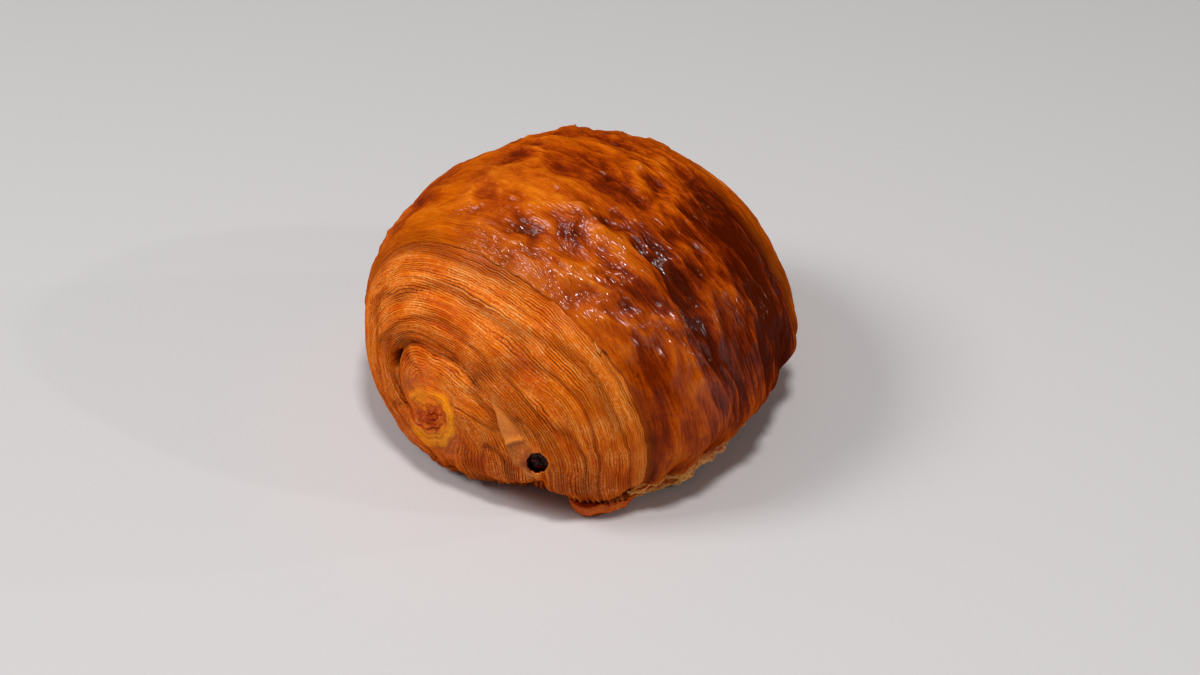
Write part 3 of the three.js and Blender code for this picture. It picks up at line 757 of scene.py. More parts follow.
# A patch's tone darkens the crust there; the dark tones over the seam-side flank are partly baked colour and partly
# painted shade of the side turned from the window.
PATCHES = (
    {"x": -15, "turn": 63, "size": 14, "crinkle": -0.7, "tone": 0.05},
    {"x": -29, "turn": 63, "size": 10, "crinkle": -0.5, "tone": -0.05},
    {"x": -36, "turn": 66, "size": 10, "crinkle": -0.3, "tone": -0.12},
    {"x": -22, "turn": 172, "size": 10, "crinkle": 0.0, "tone": 0.02},
    {"x": 3, "turn": 84, "size": 12, "crinkle": -0.3, "tone": -0.05},
    {"x": 20, "turn": 96, "size": 10, "crinkle": 0.1, "tone": -0.10},
    {"x": -31, "turn": 106, "size": 9, "crinkle": 0.7, "tone": 0.10},
    {"x": -24, "turn": 134, "size": 9, "crinkle": 0.6, "tone": 0.15},
    {"x": -10, "turn": 145, "size": 11, "crinkle": 0.6, "tone": 0.10},
    {"x": 8, "turn": 150, "size": 12, "crinkle": 0.5, "tone": 0.10},
    {"x": -3, "turn": 126, "size": 14, "crinkle": 0.3, "tone": 0.26},
    {"x": 20, "turn": 120, "size": 13, "crinkle": 0.5, "tone": 0.20},
    {"x": 24, "turn": 160, "size": 17, "crinkle": 0.1, "tone": 0.50},
    {"x": 3, "turn": 168, "size": 12, "crinkle": 0.3, "tone": 0.28},
)


def crumple(x, turn, cell, cells_round, seed, laps):
    """Flat facets between sharp ridges and sharp valleys, from -1 to 1; cell is in mm along the roll."""
    size = cells_round / (2 * math.pi)
    wave = noise(x / cell, *round_the_roll(turn, size), seed)
    wave = wave + 0.3 * noise(2.3 * x / cell, *round_the_roll(turn, 2.3 * size), seed + 50)
    return 2 * np.abs(np.mod(wave * laps, 2) - 1) - 1


def patch_sum(key, x, turn, radius):
    total = np.zeros(x.shape)
    for patch in PATCHES:
        off = np.hypot(x - patch["x"], (turn - patch["turn"]) * DEG * radius) / patch["size"]
        total = total + patch[key] * np.exp(-off * off)
    return total


def wrinkles(point, turn, radius):
    """Fine relief of the baked skin in mm, the crinkled patches, and crests from 0 to 1."""
    x, turn_here = point[..., 0], turn
    turn = slowed_turn(turn)
    bend = 2.8 * noise(x / 9, *round_the_roll(turn, 4.5), 401) + 1.1 * noise(x / 3.6, *round_the_roll(turn, 12.0), 402)
    drift = turn + 4 * noise(x / 7, *round_the_roll(turn, 4.0), 403)
    patches = 0.50 + 0.55 * noise(x / 12, *round_the_roll(turn, 3.4), 404) + patch_sum("crinkle", x, turn_here, radius)
    patches = np.clip(patches, 0, 1) * (0.3 + 0.7 * smooth_step(35, 75, turn_here) * smooth_step(262, 230, turn_here))
    large = crumple(x + bend, drift, 7.5, 17, 405, 1.3)
    middle = crumple(x + bend, drift, 4.4, 38, 410, 1.4)
    small = crumple(x + 1.2 * bend, drift, 2.6, 74, 406, 1.5)
    height = (0.45 + 0.45 * patches) * large + (0.12 + 0.48 * patches) * middle + (0.03 + 0.28 * patches) * small
    crest = 0.5 + 0.25 * large + (0.1 + 0.17 * patches) * middle + 0.15 * patches * small
    return height, patches, np.clip(crest, 0, 1)


def carried_strands(latitude, turn):
    """Strands that run on under the egg wash, and the values that their colour needs."""
    height, gaps, lines, nearest, fade = 0.0, 0.0, 0.0, 0.0, 0.0
    for end in ENDS.values():
        end_latitude, lip = -end["sign"] * latitude, lip_latitude(turn, end)
        mask = lip_fade(turn, end) * smooth_step(end["carried"], 0.0, end_length(end_latitude) - end_length(lip))
        layer = bent_layers(layer_count(end_latitude, turn, lip), turn, end["seed"])
        strand, line, _ = strands(layer, turn, end["seed"])
        parted = bundles(layer, turn, end["seed"])
        height = height + mask * (STRAND_HEIGHT * strand + BUNDLE_HEIGHT * (parted - 0.8))
        gaps = gaps + mask * 0.6 * (1 - parted)
        lines = lines + np.minimum(1.5 * mask, 1) * line
        nearest = np.where(mask > 0, layer, nearest)
        fade = fade + mask
    return height, {"gap": gaps, "line": lines, "layer": nearest, "fade": fade}


STRATA = {"height": 0.85, "thick": 1.15, "long": 9.0, "top": 11.0}


def foot_strata(point):
    """Edges of thin sheets that lie over each other along the foot of the seam side."""
    x, y, z = (point[..., n] for n in range(3))
    where = smooth_step(STRATA["top"], STRATA["top"] - 3, z) * smooth_step(-10, -22, y)
    bent = z + 1.6 * noise(x / STRATA["long"], 0.5, 0.5, 441)
    steps = noise(x / STRATA["long"], bent / STRATA["thick"], 0.5, 442)
    steps = steps + 0.4 * noise(x / 3.0, 2.2 * bent / STRATA["thick"], 0.5, 443)
    return where * STRATA["height"] * steps, where


def crust_surface(latitude, turn):
    point, normal = plain_point(latitude, turn), plain_normal(latitude, turn)
    radius = radius_from_axis(point)
    x = point[..., 0]
    line_turn = wrapped(turn, SPIRAL_START_TURN) + 360
    past = -np.abs(latitude) - spiral_latitude(line_turn)
    height = swell(point) + groove(past, line_turn) + smooth_step(0, 9, past) * folds(point, turn)
    height = height + bulges(x, turn, radius)
    height = height + along(LEDGE_HEIGHT, line_turn) * np.exp(-np.maximum(past, 0) / LEDGE_FADE) * 0.5
    for shape in CREASES:
        height = height + crease(shape, x, turn, radius * DEG)
    fine, patches, crest = wrinkles(point, turn, radius)
    strata, foot = foot_strata(point)
    carried, carried_values = carried_strands(latitude, turn)
    past_lip = length_at(latitude) - length_at(lip_latitude(turn, ENDS["shown"]))
    calm = lip_fade(turn, ENDS["shown"]) * smooth_step(CALM_LENGTH, 0.0, past_lip)
    fine = fine * (1 - 0.7 * foot) * (1 - calm) * smooth_step(0.0, 3.0, point[..., 2])
    height = height + fine + strata + carried
    # Darker towards the far end and over the seam-side flank: partly baked colour, partly painted shade of the side
    # turned from the window.
    tone = 0.36 + 0.0045 * x + 0.22 * smooth_step(80, 170, turn) * smooth_step(260, 200, turn)
    tone = tone + patch_sum("tone", x, turn, radius)
    values = {"crest": crest, "patches": patches, "tone": np.clip(tone, 0, 1), "foot": foot, **carried_values}
    return point, normal, height, values


def crust_skin():
    turn = columns(CRUST_COLUMNS)[None, :]
    near = length_at(lip_latitude(turn, ENDS["shown"]))
    far = flank_length[-1] - length_at(lip_latitude(turn, ENDS["far"]))
    inside = (np.arange(CRUST_ROWS) / (CRUST_ROWS - 1))[:, None]
    middle = near + RIM_SPAN + (far - near - 2 * RIM_SPAN) * inside
    rim_in, rim_drop = (np.array(column)[:, None] for column in zip(*RIM_ROWS))
    lengths = np.concatenate([near + rim_in, middle[1:-1], (far - rim_in)[::-1]])
    drops = np.concatenate([rim_drop, np.zeros((CRUST_ROWS - 2, 1)), rim_drop[::-1]])
    point, normal, height, values = crust_surface(latitude_at(lengths), turn)
    step = lip_step(turn)
    from_lip = np.minimum(lengths - near, far - lengths)
    extra_depth = RIM_EXTRA_DEPTH * (1 - 0.75 * lip_fade(turn, ENDS["shown"]))
    height = height + step * 0.5 * np.exp(-from_lip / 5.0) - drops * (step + extra_depth)
    shaped = settle(point, normal, height)
    values["rim"] = np.exp(-from_lip / 1.2)
    values["under"] = smooth_step(1.6, 0.4, shaped[..., 2])
    values["turn_cos"], values["turn_sin"] = round_the_roll(slowed_turn(turn), 1.0)
    return skin_mesh("crust", shaped, values)


crust = crust_skin()

# %% [markdown]
# ## The baton of chocolate
# A baker's baton softens in the oven and sets again. Its end sits a little back in its mouth in the dough,
# lumpy and cracked, with a dull shine. It is lofted from soft-cornered sections, and its shown end follows
# the slope of the dough round the mouth, so that the hole is as deep on every side.

# %% Chocolate
BATON_SIDES, BATON_STEPS, BATON_CAP_ROWS = 72, 40, 16
BATON_FAR_STOP, BATON_RECESS, CAP_BULGE, CAP_DEPTH = 42.6, 1.35, 0.6, 2.2


def baton_section(angle, x):
    """Offsets of the baton's outline from its axis at a place along it."""
    wander = 1 + 0.05 * np.sin(x / 9 + 2 * angle)
    lump = 0.25 * noise(x / 2.3, 2.0 * np.cos(angle), 2.0 * np.sin(angle), 501)
    dy = (BATON["half_width"] * wander + lump) * signed_power(np.cos(angle), BATON["corner"])
    dz = (BATON["half_height"] * wander + lump) * signed_power(np.sin(angle), BATON["corner"])
    return dy, dz


def baton_piece():
    at_axis, slope_y, slope_z = mouth_plane()
    print("the dough at the mouth lies at x =", round(at_axis, 1), "with slopes", round(slope_y, 2), round(slope_z, 2))
    angle = np.linspace(0, 2 * np.pi, BATON_SIDES, endpoint=False)[None, :]
    dome = np.linspace(0, 1, BATON_CAP_ROWS + 1)[1:, None]
    dy, dz = baton_section(angle, np.array([[at_axis]]))
    dy, dz = dy * dome, dz * dome
    lumps = 0.55 * noise(dy / 1.6, dz / 1.6, 0.5, 502) + 0.35 * noise(dy / 0.7, dz / 0.7, 0.5, 503)
    crack = 0.5 * np.maximum(0, 1 - np.abs(noise(dy / 2.2, dz / 2.2, 0.9, 504)) * 7)
    depth = BATON_RECESS - CAP_BULGE * (1 - dome**2) - lumps * (1 - dome**6) + crack + 0.9 * dome**8
    x_cut = at_axis + slope_y * dy + slope_z * dz
    shown = np.stack([x_cut + depth, BATON["y"] + dy, BATON["z"] + dz], -1)
    far_x = np.broadcast_to(BATON_FAR_STOP - CAP_DEPTH * (1 - np.sqrt(1 - (0.98 * dome) ** 2)) + lumps, dy.shape)
    far = np.stack([far_x, BATON["y"] + dy, BATON["z"] + dz], -1)[::-1]
    share = np.linspace(0, 1, BATON_STEPS + 2)[1:-1, None]
    side_x = shown[-1:, :, 0] + (far[:1, :, 0] - shown[-1:, :, 0]) * share
    side_dy, side_dz = baton_section(angle, side_x)
    sides = np.stack([side_x, BATON["y"] + side_dy, BATON["z"] + side_dz], -1)
    tips = [points.mean(axis=0) for points in (shown[0], far[-1])]
    return skin_mesh("chocolate_baton", np.concatenate([shown, sides, far])[:, ::-1], {}, *tips)


chocolate = baton_piece()

# %% [markdown]
# ## Loose sheets: the seam, the tail and a few flakes
# Where the roll was closed, on the seam side, thin sheets of dough lie over each other along the foot with
# ragged pale edges, and the last of them ends in a small tail on the floor. Elsewhere single flakes have
# lifted off. All are flat tubes along a path: a flat section is swept along it, thinner at both ends, with
# noise on its edge. Each one starts inside the loaf, so that it grows out of the skin.

# %% Sheets swept along a path
SHEET_SIDES = 28


def sheet(name, path, outward, upward, half_width, half_thick, seed, ragged=0.0, streaks=0.0, curl=0.0,
          flutter=0.0, inner_shade_and_char=0.0):
    """A flat tube: path, outward and upward are (rows, 3), widths and thicknesses are (rows,)."""
    angle = np.linspace(0, 2 * np.pi, SHEET_SIDES, endpoint=False)[None, :]
    place = np.concatenate([[0], np.cumsum(np.linalg.norm(np.diff(path, axis=0), axis=-1))])[:, None]
    edge = ragged * (noise(place / 2.1, 0.5, 0.5, seed) + 0.6 * noise(place / 0.8, 0.5, 0.5, seed + 1))
    across = signed_power(np.cos(angle), 0.8)
    width = half_width[:, None] * across + edge * np.maximum(across, 0) * np.sin(np.pi * place / place[-1])
    lift = half_thick[:, None] * np.sin(angle)
    lines = streaks * noise(place / 3.0, across * half_width[:, None] / 0.5, 0.5, seed + 2)
    wave = 0.35 * half_thick.max() * noise(place / 2.6, across * 1.5, 0.5, seed + 3)
    lift = lift + (lines + wave) * (np.abs(np.sin(angle)) > 0.01)
    lift = lift + curl * (across**2 - 0.7 * (1 - across**2)) * (np.sin(angle) > 0.01) * tapered(len(path), 0.5)[:, None]
    lift = lift + flutter * noise(place / 1.7, 0.5, 0.5, seed + 4) * np.clip(across, 0, 1) ** 2
    points = path[:, None, :] + outward[:, None, :] * width[..., None] + upward[:, None, :] * lift[..., None]
    points[..., 2] = np.maximum(points[..., 2], 0.03)
    # inner: the side of a sheet that meets the dough, painted dark, partly browned and partly painted shade.
    values = {"edge": np.clip(across, 0, 1) ** 2, "inner": inner_shade_and_char * smooth_step(0.35, -0.5, across)}
    return skin_mesh(name, points, values, points[0].mean(axis=0), points[-1].mean(axis=0))


def tapered(count, power=0.5):
    """Shares from 0 to 1 and back to 0 along a path, never quite 0."""
    return np.sin(np.pi * (np.arange(count) + 0.5) / count) ** power


# %% Sheets of the seam
SEAM_SHEETS = (
    {"from": -27.0, "to": 6.0, "z": 2.4, "out": 3.0, "thick": 0.40, "droop": 0.5, "seed": 601},
    {"from": -27.0, "to": 22.0, "z": 4.6, "out": 2.8, "thick": 0.30, "droop": 0.9, "seed": 611},
    {"from": -30.0, "to": -4.0, "z": 6.8, "out": 3.0, "thick": 0.26, "droop": 0.8, "seed": 621},
    {"from": -14.0, "to": 34.0, "z": 7.6, "out": 2.6, "thick": 0.26, "droop": 1.1, "seed": 631},
    {"from": -24.0, "to": 8.0, "z": 10.2, "out": 2.7, "thick": 0.24, "droop": 1.0, "seed": 641},
    {"from": -4.0, "to": 30.0, "z": 11.2, "out": 2.2, "thick": 0.22, "droop": 1.2, "seed": 661},
    {"from": -20.0, "to": -6.0, "z": 13.2, "out": 2.4, "thick": 0.22, "droop": 1.1, "seed": 671},
)
SHEET_STEP = 0.45


def foot_line(x, z):
    """Points of the seam side at a height z over the floor, for a row of places along the roll."""
    latitudes = np.linspace(-60, 60, 600)
    latitude = np.interp(x, plain_point(latitudes, 90.0)[:, 0], latitudes)[:, None]
    turn = np.linspace(178, 236, 160)[None, :]
    point, normal, height, _ = crust_surface(latitude, np.broadcast_to(turn, (len(x), turn.shape[1])))
    shaped = settle(point, normal, height)
    y = np.array([np.interp(level, row[::-1, 2], row[::-1, 1]) for level, row in zip(z, shaped)])
    return np.stack([x, y, z], -1)


def seam_sheet(name, spec):
    x = np.arange(spec["from"], spec["to"], SHEET_STEP)
    z = spec["z"] + 0.9 * noise(x / 7, 0.5, 0.5, spec["seed"] + 7)
    path = foot_line(x, np.maximum(z, 1.2))
    along_path = np.gradient(path, axis=0)
    along_path /= np.linalg.norm(along_path, axis=-1, keepdims=True)
    outward = np.stack([along_path[:, 1], -along_path[:, 0], np.full(len(x), -spec["droop"])], -1)
    outward /= np.linalg.norm(outward, axis=-1, keepdims=True)
    upward = np.cross(outward, along_path)
    upward *= np.sign(upward[:, 2:3])
    swellings = 0.7 + 0.7 * noise(x / 5, 0.5, 0.5, spec["seed"] + 8)
    half_width = 0.5 * spec["out"] * (1 + swellings) * tapered(len(x), 0.35)
    return sheet(name, path - outward * 0.9, outward, upward, half_width, spec["thick"] * tapered(len(x), 0.4),
                 spec["seed"], ragged=1.3, streaks=0.06, flutter=0.8, inner_shade_and_char=1.0)


seam_pieces = [seam_sheet(f"seam_sheet_{n}", spec) for n, spec in enumerate(SEAM_SHEETS, 1)]

# %% The tail on the floor
TAIL_PATH = [(-35.4, -25.4, 2.9), (-36.6, -28.4, 2.6), (-36.0, -31.8, 2.5), (-32.4, -34.8, 2.5), (-27.2, -36.6, 2.4),
             (-21.4, -38.0, 2.0)]
TAIL_WIDTH, TAIL_THICK, TAIL_STEPS, TAIL_CURL = 3.1, 2.3, 110, 1.1


def tail_piece():
    stations = np.array(TAIL_PATH)
    share = np.linspace(0, len(stations) - 1, TAIL_STEPS)
    path = np.stack([np.interp(share, np.arange(len(stations)), stations[:, n]) for n in range(3)], -1)
    for _ in range(60):
        path[1:-1] = 0.25 * path[:-2] + 0.5 * path[1:-1] + 0.25 * path[2:]
    along_path = np.gradient(path, axis=0)
    along_path /= np.linalg.norm(along_path, axis=-1, keepdims=True)
    outward = np.stack([along_path[:, 1], -along_path[:, 0], 0 * along_path[:, 0]], -1)
    upward = np.tile([0.0, 0.0, 1.0], (TAIL_STEPS, 1))
    slimmer = 1 - 0.5 * np.linspace(0, 1, TAIL_STEPS) ** 2
    width, thick = TAIL_WIDTH * slimmer * tapered(TAIL_STEPS, 0.4), TAIL_THICK * slimmer * tapered(TAIL_STEPS, 0.5)
    return sheet("seam_tail", path, outward, upward, width, thick, 651, ragged=1.0, streaks=0.45, curl=TAIL_CURL, flutter=0.7,
                 inner_shade_and_char=1.0)


tail = tail_piece()

# %% Single flakes: place on the loaf, heading in degrees from along the roll, length, width and lift
FLAKES = (
    (26, 70, 20, 3.0, 1.6, 0.5), (-43, 17, 80, 7.0, 2.0, 0.8), (-44, 8, 95, 5.0, 1.6, 0.7),
    (-33, 96, 85, 6.5, 1.6, 0.4), (-31, 118, 95, 8.0, 1.8, 0.5), (-32, 136, 80, 6.0, 1.4, 0.4),
    (-28, 160, 95, 7.0, 1.6, 0.5), (-27, 196, 80, 6.0, 2.0, 0.6), (-22, 204, 60, 5.0, 2.0, 0.7),
)
FLAKE_STEPS, FLAKE_THICK = 22, 0.16


def flake(number, spec):
    """A thin sliver that leaves the skin at its first end and lifts towards its tip."""
    latitude, turn, heading, length, width, lift = spec
    spot = np.array([[float(latitude)]]), np.array([[float(turn)]])
    point, normal, height, _ = crust_surface(*spot)
    base = settle(point, normal, height)[0, 0]
    normal = normal[0, 0]
    east = plain_point(latitude + 0.5, turn) - plain_point(latitude - 0.5, turn)
    east /= np.linalg.norm(east)
    north = np.cross(normal, east)
    ahead = east * math.cos(heading * DEG) + north * math.sin(heading * DEG)
    aside = np.cross(normal, ahead)
    share = np.linspace(0, 1, FLAKE_STEPS)[:, None]
    bow = (lift * share**2 - 0.25) * normal - share**2 * length**2 / (2 * radius_from_axis(point)[0, 0]) * normal
    path = base + ahead * length * (share - 0.35) + bow
    taper = tapered(FLAKE_STEPS, 0.6) * (1 - 0.55 * share[:, 0])
    return sheet(f"flake_{number}", path, np.tile(aside, (FLAKE_STEPS, 1)), np.tile(normal, (FLAKE_STEPS, 1)),
                 0.5 * width * taper, FLAKE_THICK * tapered(FLAKE_STEPS, 0.3), 700 + 10 * number, ragged=0.3)


flakes = [flake(number, spec) for number, spec in enumerate(FLAKES, 1)]

# %% [markdown]
# ## Helpers for materials
# A material here is a Principled BSDF fed by small trees of mix, noise and ramp nodes. The helpers keep each
# step to one line. Colours are written as they are seen on a screen and turned into linear light.


# %% Material helpers
def seen(red, green, blue):
    """A screen colour from 0 to 255, as linear light."""
    linear = [(c / 255 / 12.92) if c <= 10 else ((c / 255 + 0.055) / 1.055) ** 2.4 for c in (red, green, blue)]
    return (*linear, 1.0)


class Tree:
    """Adds nodes to one node tree and links them as they are made."""

    def __init__(self, tree):
        self.tree = tree

    def add(self, kind, **settings):
        node = self.tree.nodes.new(kind)
        for key, value in settings.items():
            setattr(node, key, value)
        return node

    def feed(self, socket, value):
        if isinstance(value, bpy.types.NodeSocket):
            self.tree.links.new(value, socket)
        else:
            socket.default_value = value

    def value(self, name):
        return self.add("ShaderNodeAttribute", attribute_type="GEOMETRY", attribute_name=name).outputs["Fac"]

    def math(self, operation, a, b=0.0, clamp=False):
        node = self.add("ShaderNodeMath", operation=operation, use_clamp=clamp)
        self.feed(node.inputs[0], a)
        self.feed(node.inputs[1], b)
        return node.outputs[0]

    def total(self, *terms):
        """The sum of (value, factor) pairs."""
        result = 0.0
        for value, factor in terms:
            result = self.math("ADD", self.math("MULTIPLY", value, factor), result)
        return result

    def span(self, value, low, high, to_low=0.0, to_high=1.0):
        node = self.add("ShaderNodeMapRange", interpolation_type="SMOOTHSTEP")
        for socket, v in zip(node.inputs[:5], (value, low, high, to_low, to_high)):
            self.feed(socket, v)
        return node.outputs[0]

    def mix(self, factor, a, b, strength=1.0):
        node = self.add("ShaderNodeMix", data_type="RGBA")
        self.feed(node.inputs[0], self.math("MULTIPLY", factor, strength, clamp=True))
        self.feed(node.inputs[6], a)
        self.feed(node.inputs[7], b)
        return node.outputs[2]

    def ramp(self, value, stops):
        """A colour for each value, by stops of (place, colour)."""
        node = self.add("ShaderNodeValToRGB")
        elements = node.color_ramp.elements
        while len(elements) < len(stops):
            elements.new(0.5)
        for element, (place, colour) in zip(elements, stops):
            element.position, element.color = place, colour
        self.feed(node.inputs[0], value)
        return node.outputs[0]

    def vector(self, x, y, z):
        node = self.add("ShaderNodeCombineXYZ")
        for socket, v in zip(node.inputs, (x, y, z)):
            self.feed(socket, v)
        return node.outputs[0]

    def noise(self, vector, scale, detail=2.0, rough=0.5):
        node = self.add("ShaderNodeTexNoise")
        self.feed(node.inputs["Vector"], vector)
        node.inputs["Scale"].default_value = scale
        node.inputs["Detail"].default_value = detail
        node.inputs["Roughness"].default_value = rough
        return node.outputs["Fac"]

    def place(self):
        return self.add("ShaderNodeTexCoord").outputs["Object"]


def new_material(name):
    material = bpy.data.materials.new(name)
    material.use_nodes = True
    shader = material.node_tree.nodes["Principled BSDF"]
    return material, Tree(material.node_tree), shader


# %% [markdown]
# ## Baked grain, shared by crust and layers
# Oven heat freckles every surface of the pastry: short fibres that run round the roll, pale blisters on the
# strands, and brown specks. The crust and the layers place the same node group, each with its own values: Across is the
# coordinate that crosses the fibres, in its own units, and the turn comes in as a point on a circle, so the
# pattern closes up after a full round.

# %% Sharp lines between layers
WAVER_ROUND, WAVER, LINES_ROUND = 22.0, 0.5, 7.0


def turned(tree, size):
    return [tree.math("MULTIPLY", tree.value(key), size) for key in ("turn_cos", "turn_sin")]


def gap_lines(tree):
    """The line in each gap between layers, and that line together with the broad partings of the mesh."""
    waver = tree.noise(tree.vector(tree.math("MULTIPLY", tree.value("layer"), 0.8), *turned(tree, WAVER_ROUND)), 1.0)
    layer = tree.math("SUBTRACT", tree.total((tree.value("layer"), 1.0), (waver, WAVER)), WAVER / 2)
    off = tree.math("ABSOLUTE", tree.math("SUBTRACT", tree.math("FRACT", layer), 0.5))
    line = tree.math("MULTIPLY", tree.span(off, 0.28, 0.48), tree.value("line"))
    return line, tree.math("ADD", line, tree.value("gap"), clamp=True)


def glazed_strands(tree, gap):
    """Colour of strands that run on under the egg wash."""
    lines = tree.noise(tree.vector(tree.math("MULTIPLY", tree.value("layer"), 1.6), *turned(tree, LINES_ROUND)), 1.0)
    # The gaps of these strands are painted dark, partly red-brown and partly painted shade.
    return tree.mix(gap, tree.mix(tree.span(lines, 0.35, 0.65), AMBER, CRUST_BROWN), MAHOGANY, 0.85)


# %% The baked grain group
VARNISH_IOR = 1.48
GRAIN_INPUTS = (("Across", 0.0), ("Turn Cos", 0.0), ("Turn Sin", 0.0), ("Fibre Round", 8.0), ("Blister Round", 16.0))
GRAIN_OUTPUTS = ("Fibre", "Blisters", "Specks", "Crinkle", "Height")
SPECK_SIZE_MM = 0.9


def build_grain():
    group = bpy.data.node_groups.new("baked_grain", "ShaderNodeTree")
    for label, default in GRAIN_INPUTS:
        group.interface.new_socket(label, in_out="INPUT", socket_type="NodeSocketFloat").default_value = default
    for label in GRAIN_OUTPUTS:
        group.interface.new_socket(label, in_out="OUTPUT", socket_type="NodeSocketFloat")
    tree = Tree(group)
    given, result = tree.add("NodeGroupInput").outputs, tree.add("NodeGroupOutput").inputs

    def round_vector(across_scale, size):
        across = tree.math("MULTIPLY", given["Across"], across_scale)
        turned = [tree.math("MULTIPLY", given[key], size) for key in ("Turn Cos", "Turn Sin")]
        return tree.vector(across, *turned)

    fibre = tree.noise(round_vector(2.0, given["Fibre Round"]), 1.0, 3.0, 0.6)
    blisters = tree.noise(round_vector(1.3, given["Blister Round"]), 1.0, 2.0, 0.5)
    specks = tree.noise(tree.place(), 1 / (SPECK_SIZE_MM * MM), 3.0, 0.6)
    creased = tree.noise(round_vector(1.1, given["Fibre Round"]), 1.0, 2.0, 0.55)
    ridge = tree.math("ABSOLUTE", tree.math("SUBTRACT", creased, 0.5))
    tree.feed(result["Crinkle"], tree.math("SUBTRACT", 1.0, tree.math("MULTIPLY", ridge, 6.0), clamp=True))
    tree.feed(result["Fibre"], tree.span(fibre, 0.34, 0.66))
    tree.feed(result["Blisters"], tree.span(blisters, 0.55, 0.70))
    tree.feed(result["Specks"], tree.span(specks, 0.52, 0.68))
    tree.feed(result["Height"], tree.total((fibre, 0.6), (blisters, 0.5), (specks, 0.3)))
    return group


baked_grain = build_grain()


def place_grain(tree, across, fibre_round, blister_round):
    node = tree.add("ShaderNodeGroup", node_tree=baked_grain)
    tree.feed(node.inputs["Across"], across)
    tree.feed(node.inputs["Turn Cos"], tree.value("turn_cos"))
    tree.feed(node.inputs["Turn Sin"], tree.value("turn_sin"))
    node.inputs["Fibre Round"].default_value = fibre_round
    node.inputs["Blister Round"].default_value = blister_round
    return node.outputs


def varnish(tree, shader, weight, roughness):
    """A thin clear coat that thins out where the skin turns away, as a real dry glaze does."""
    facing = tree.add("ShaderNodeLayerWeight").outputs["Facing"]
    tree.feed(shader.inputs["Coat Weight"], tree.math("MULTIPLY", weight, tree.span(facing, 0.35, 0.85, 1.0, 0.12)))
    shader.inputs["Coat Roughness"].default_value = roughness
    shader.inputs["Coat IOR"].default_value = VARNISH_IOR
    shader.inputs["Specular IOR Level"].default_value = 0.0


def add_bump(tree, shader, height, distance_mm, sockets=("Normal", "Coat Normal")):
    bump = tree.add("ShaderNodeBump")
    bump.inputs["Strength"].default_value = 1.0
    bump.inputs["Distance"].default_value = distance_mm * MM
    tree.feed(bump.inputs["Height"], height)
    for label in sockets:
        tree.feed(shader.inputs[label], bump.outputs["Normal"])


# %% Colours of baked dough
PALE_AMBER = seen(226, 122, 20)
AMBER, CRUST_BROWN, MAHOGANY, BURNT = seen(206, 100, 6), seen(172, 68, 2), seen(120, 36, 1), seen(76, 19, 1)
LAYER_CREAM, LAYER_ORANGE = seen(250, 178, 100), seen(240, 122, 18)
LAYER_RED, GAP_SHADE_BROWN, BAND_BROWN = seen(206, 82, 4), seen(110, 30, 0), seen(152, 54, 4)
STRIP_TAN, MEMBRANE_TAN, MEMBRANE_DARK = seen(236, 142, 56), seen(224, 134, 54), seen(170, 92, 14)
LINING_RED, FOOT_ROSE, TAIL_RED = seen(134, 48, 8), seen(190, 90, 34), seen(206, 76, 6)
SNAIL_YELLOW, SNAIL_ORANGE, SNAIL_RED = seen(255, 150, 8), seen(232, 98, 0), seen(186, 50, 0)
HOLE_SHADE, SEAM_PALE, SEAM_BROWN, UNDER_BROWN = seen(50, 13, 1), seen(244, 176, 92), seen(138, 62, 12), seen(132, 68, 22)

# %% [markdown]
# ## The glossy crust
# Egg wash bakes to a varnish: amber where the skin is thin, mahogany where it caught the heat, and nearly
# black-brown in the deepest patches. The colour goes by broad patches, by the height of the wrinkles and by
# fine fibre. The valleys between the crests are darker, partly glaze pooled there and partly painted shade,
# and the seam-side flank and the far end are darker, partly baked colour and partly painted shade of the side
# turned from the window. A thin clear coat over it makes the small sharp highlights, and the dough under the coat is
# kept almost without gloss of its own, because a second haze would wash the browns out.

# %% Crust material
STREAKS_ROUND = 5.0
CRUST_STOPS = ((0.0, PALE_AMBER), (0.19, AMBER), (0.475, CRUST_BROWN), (0.74, MAHOGANY), (1.0, BURNT))


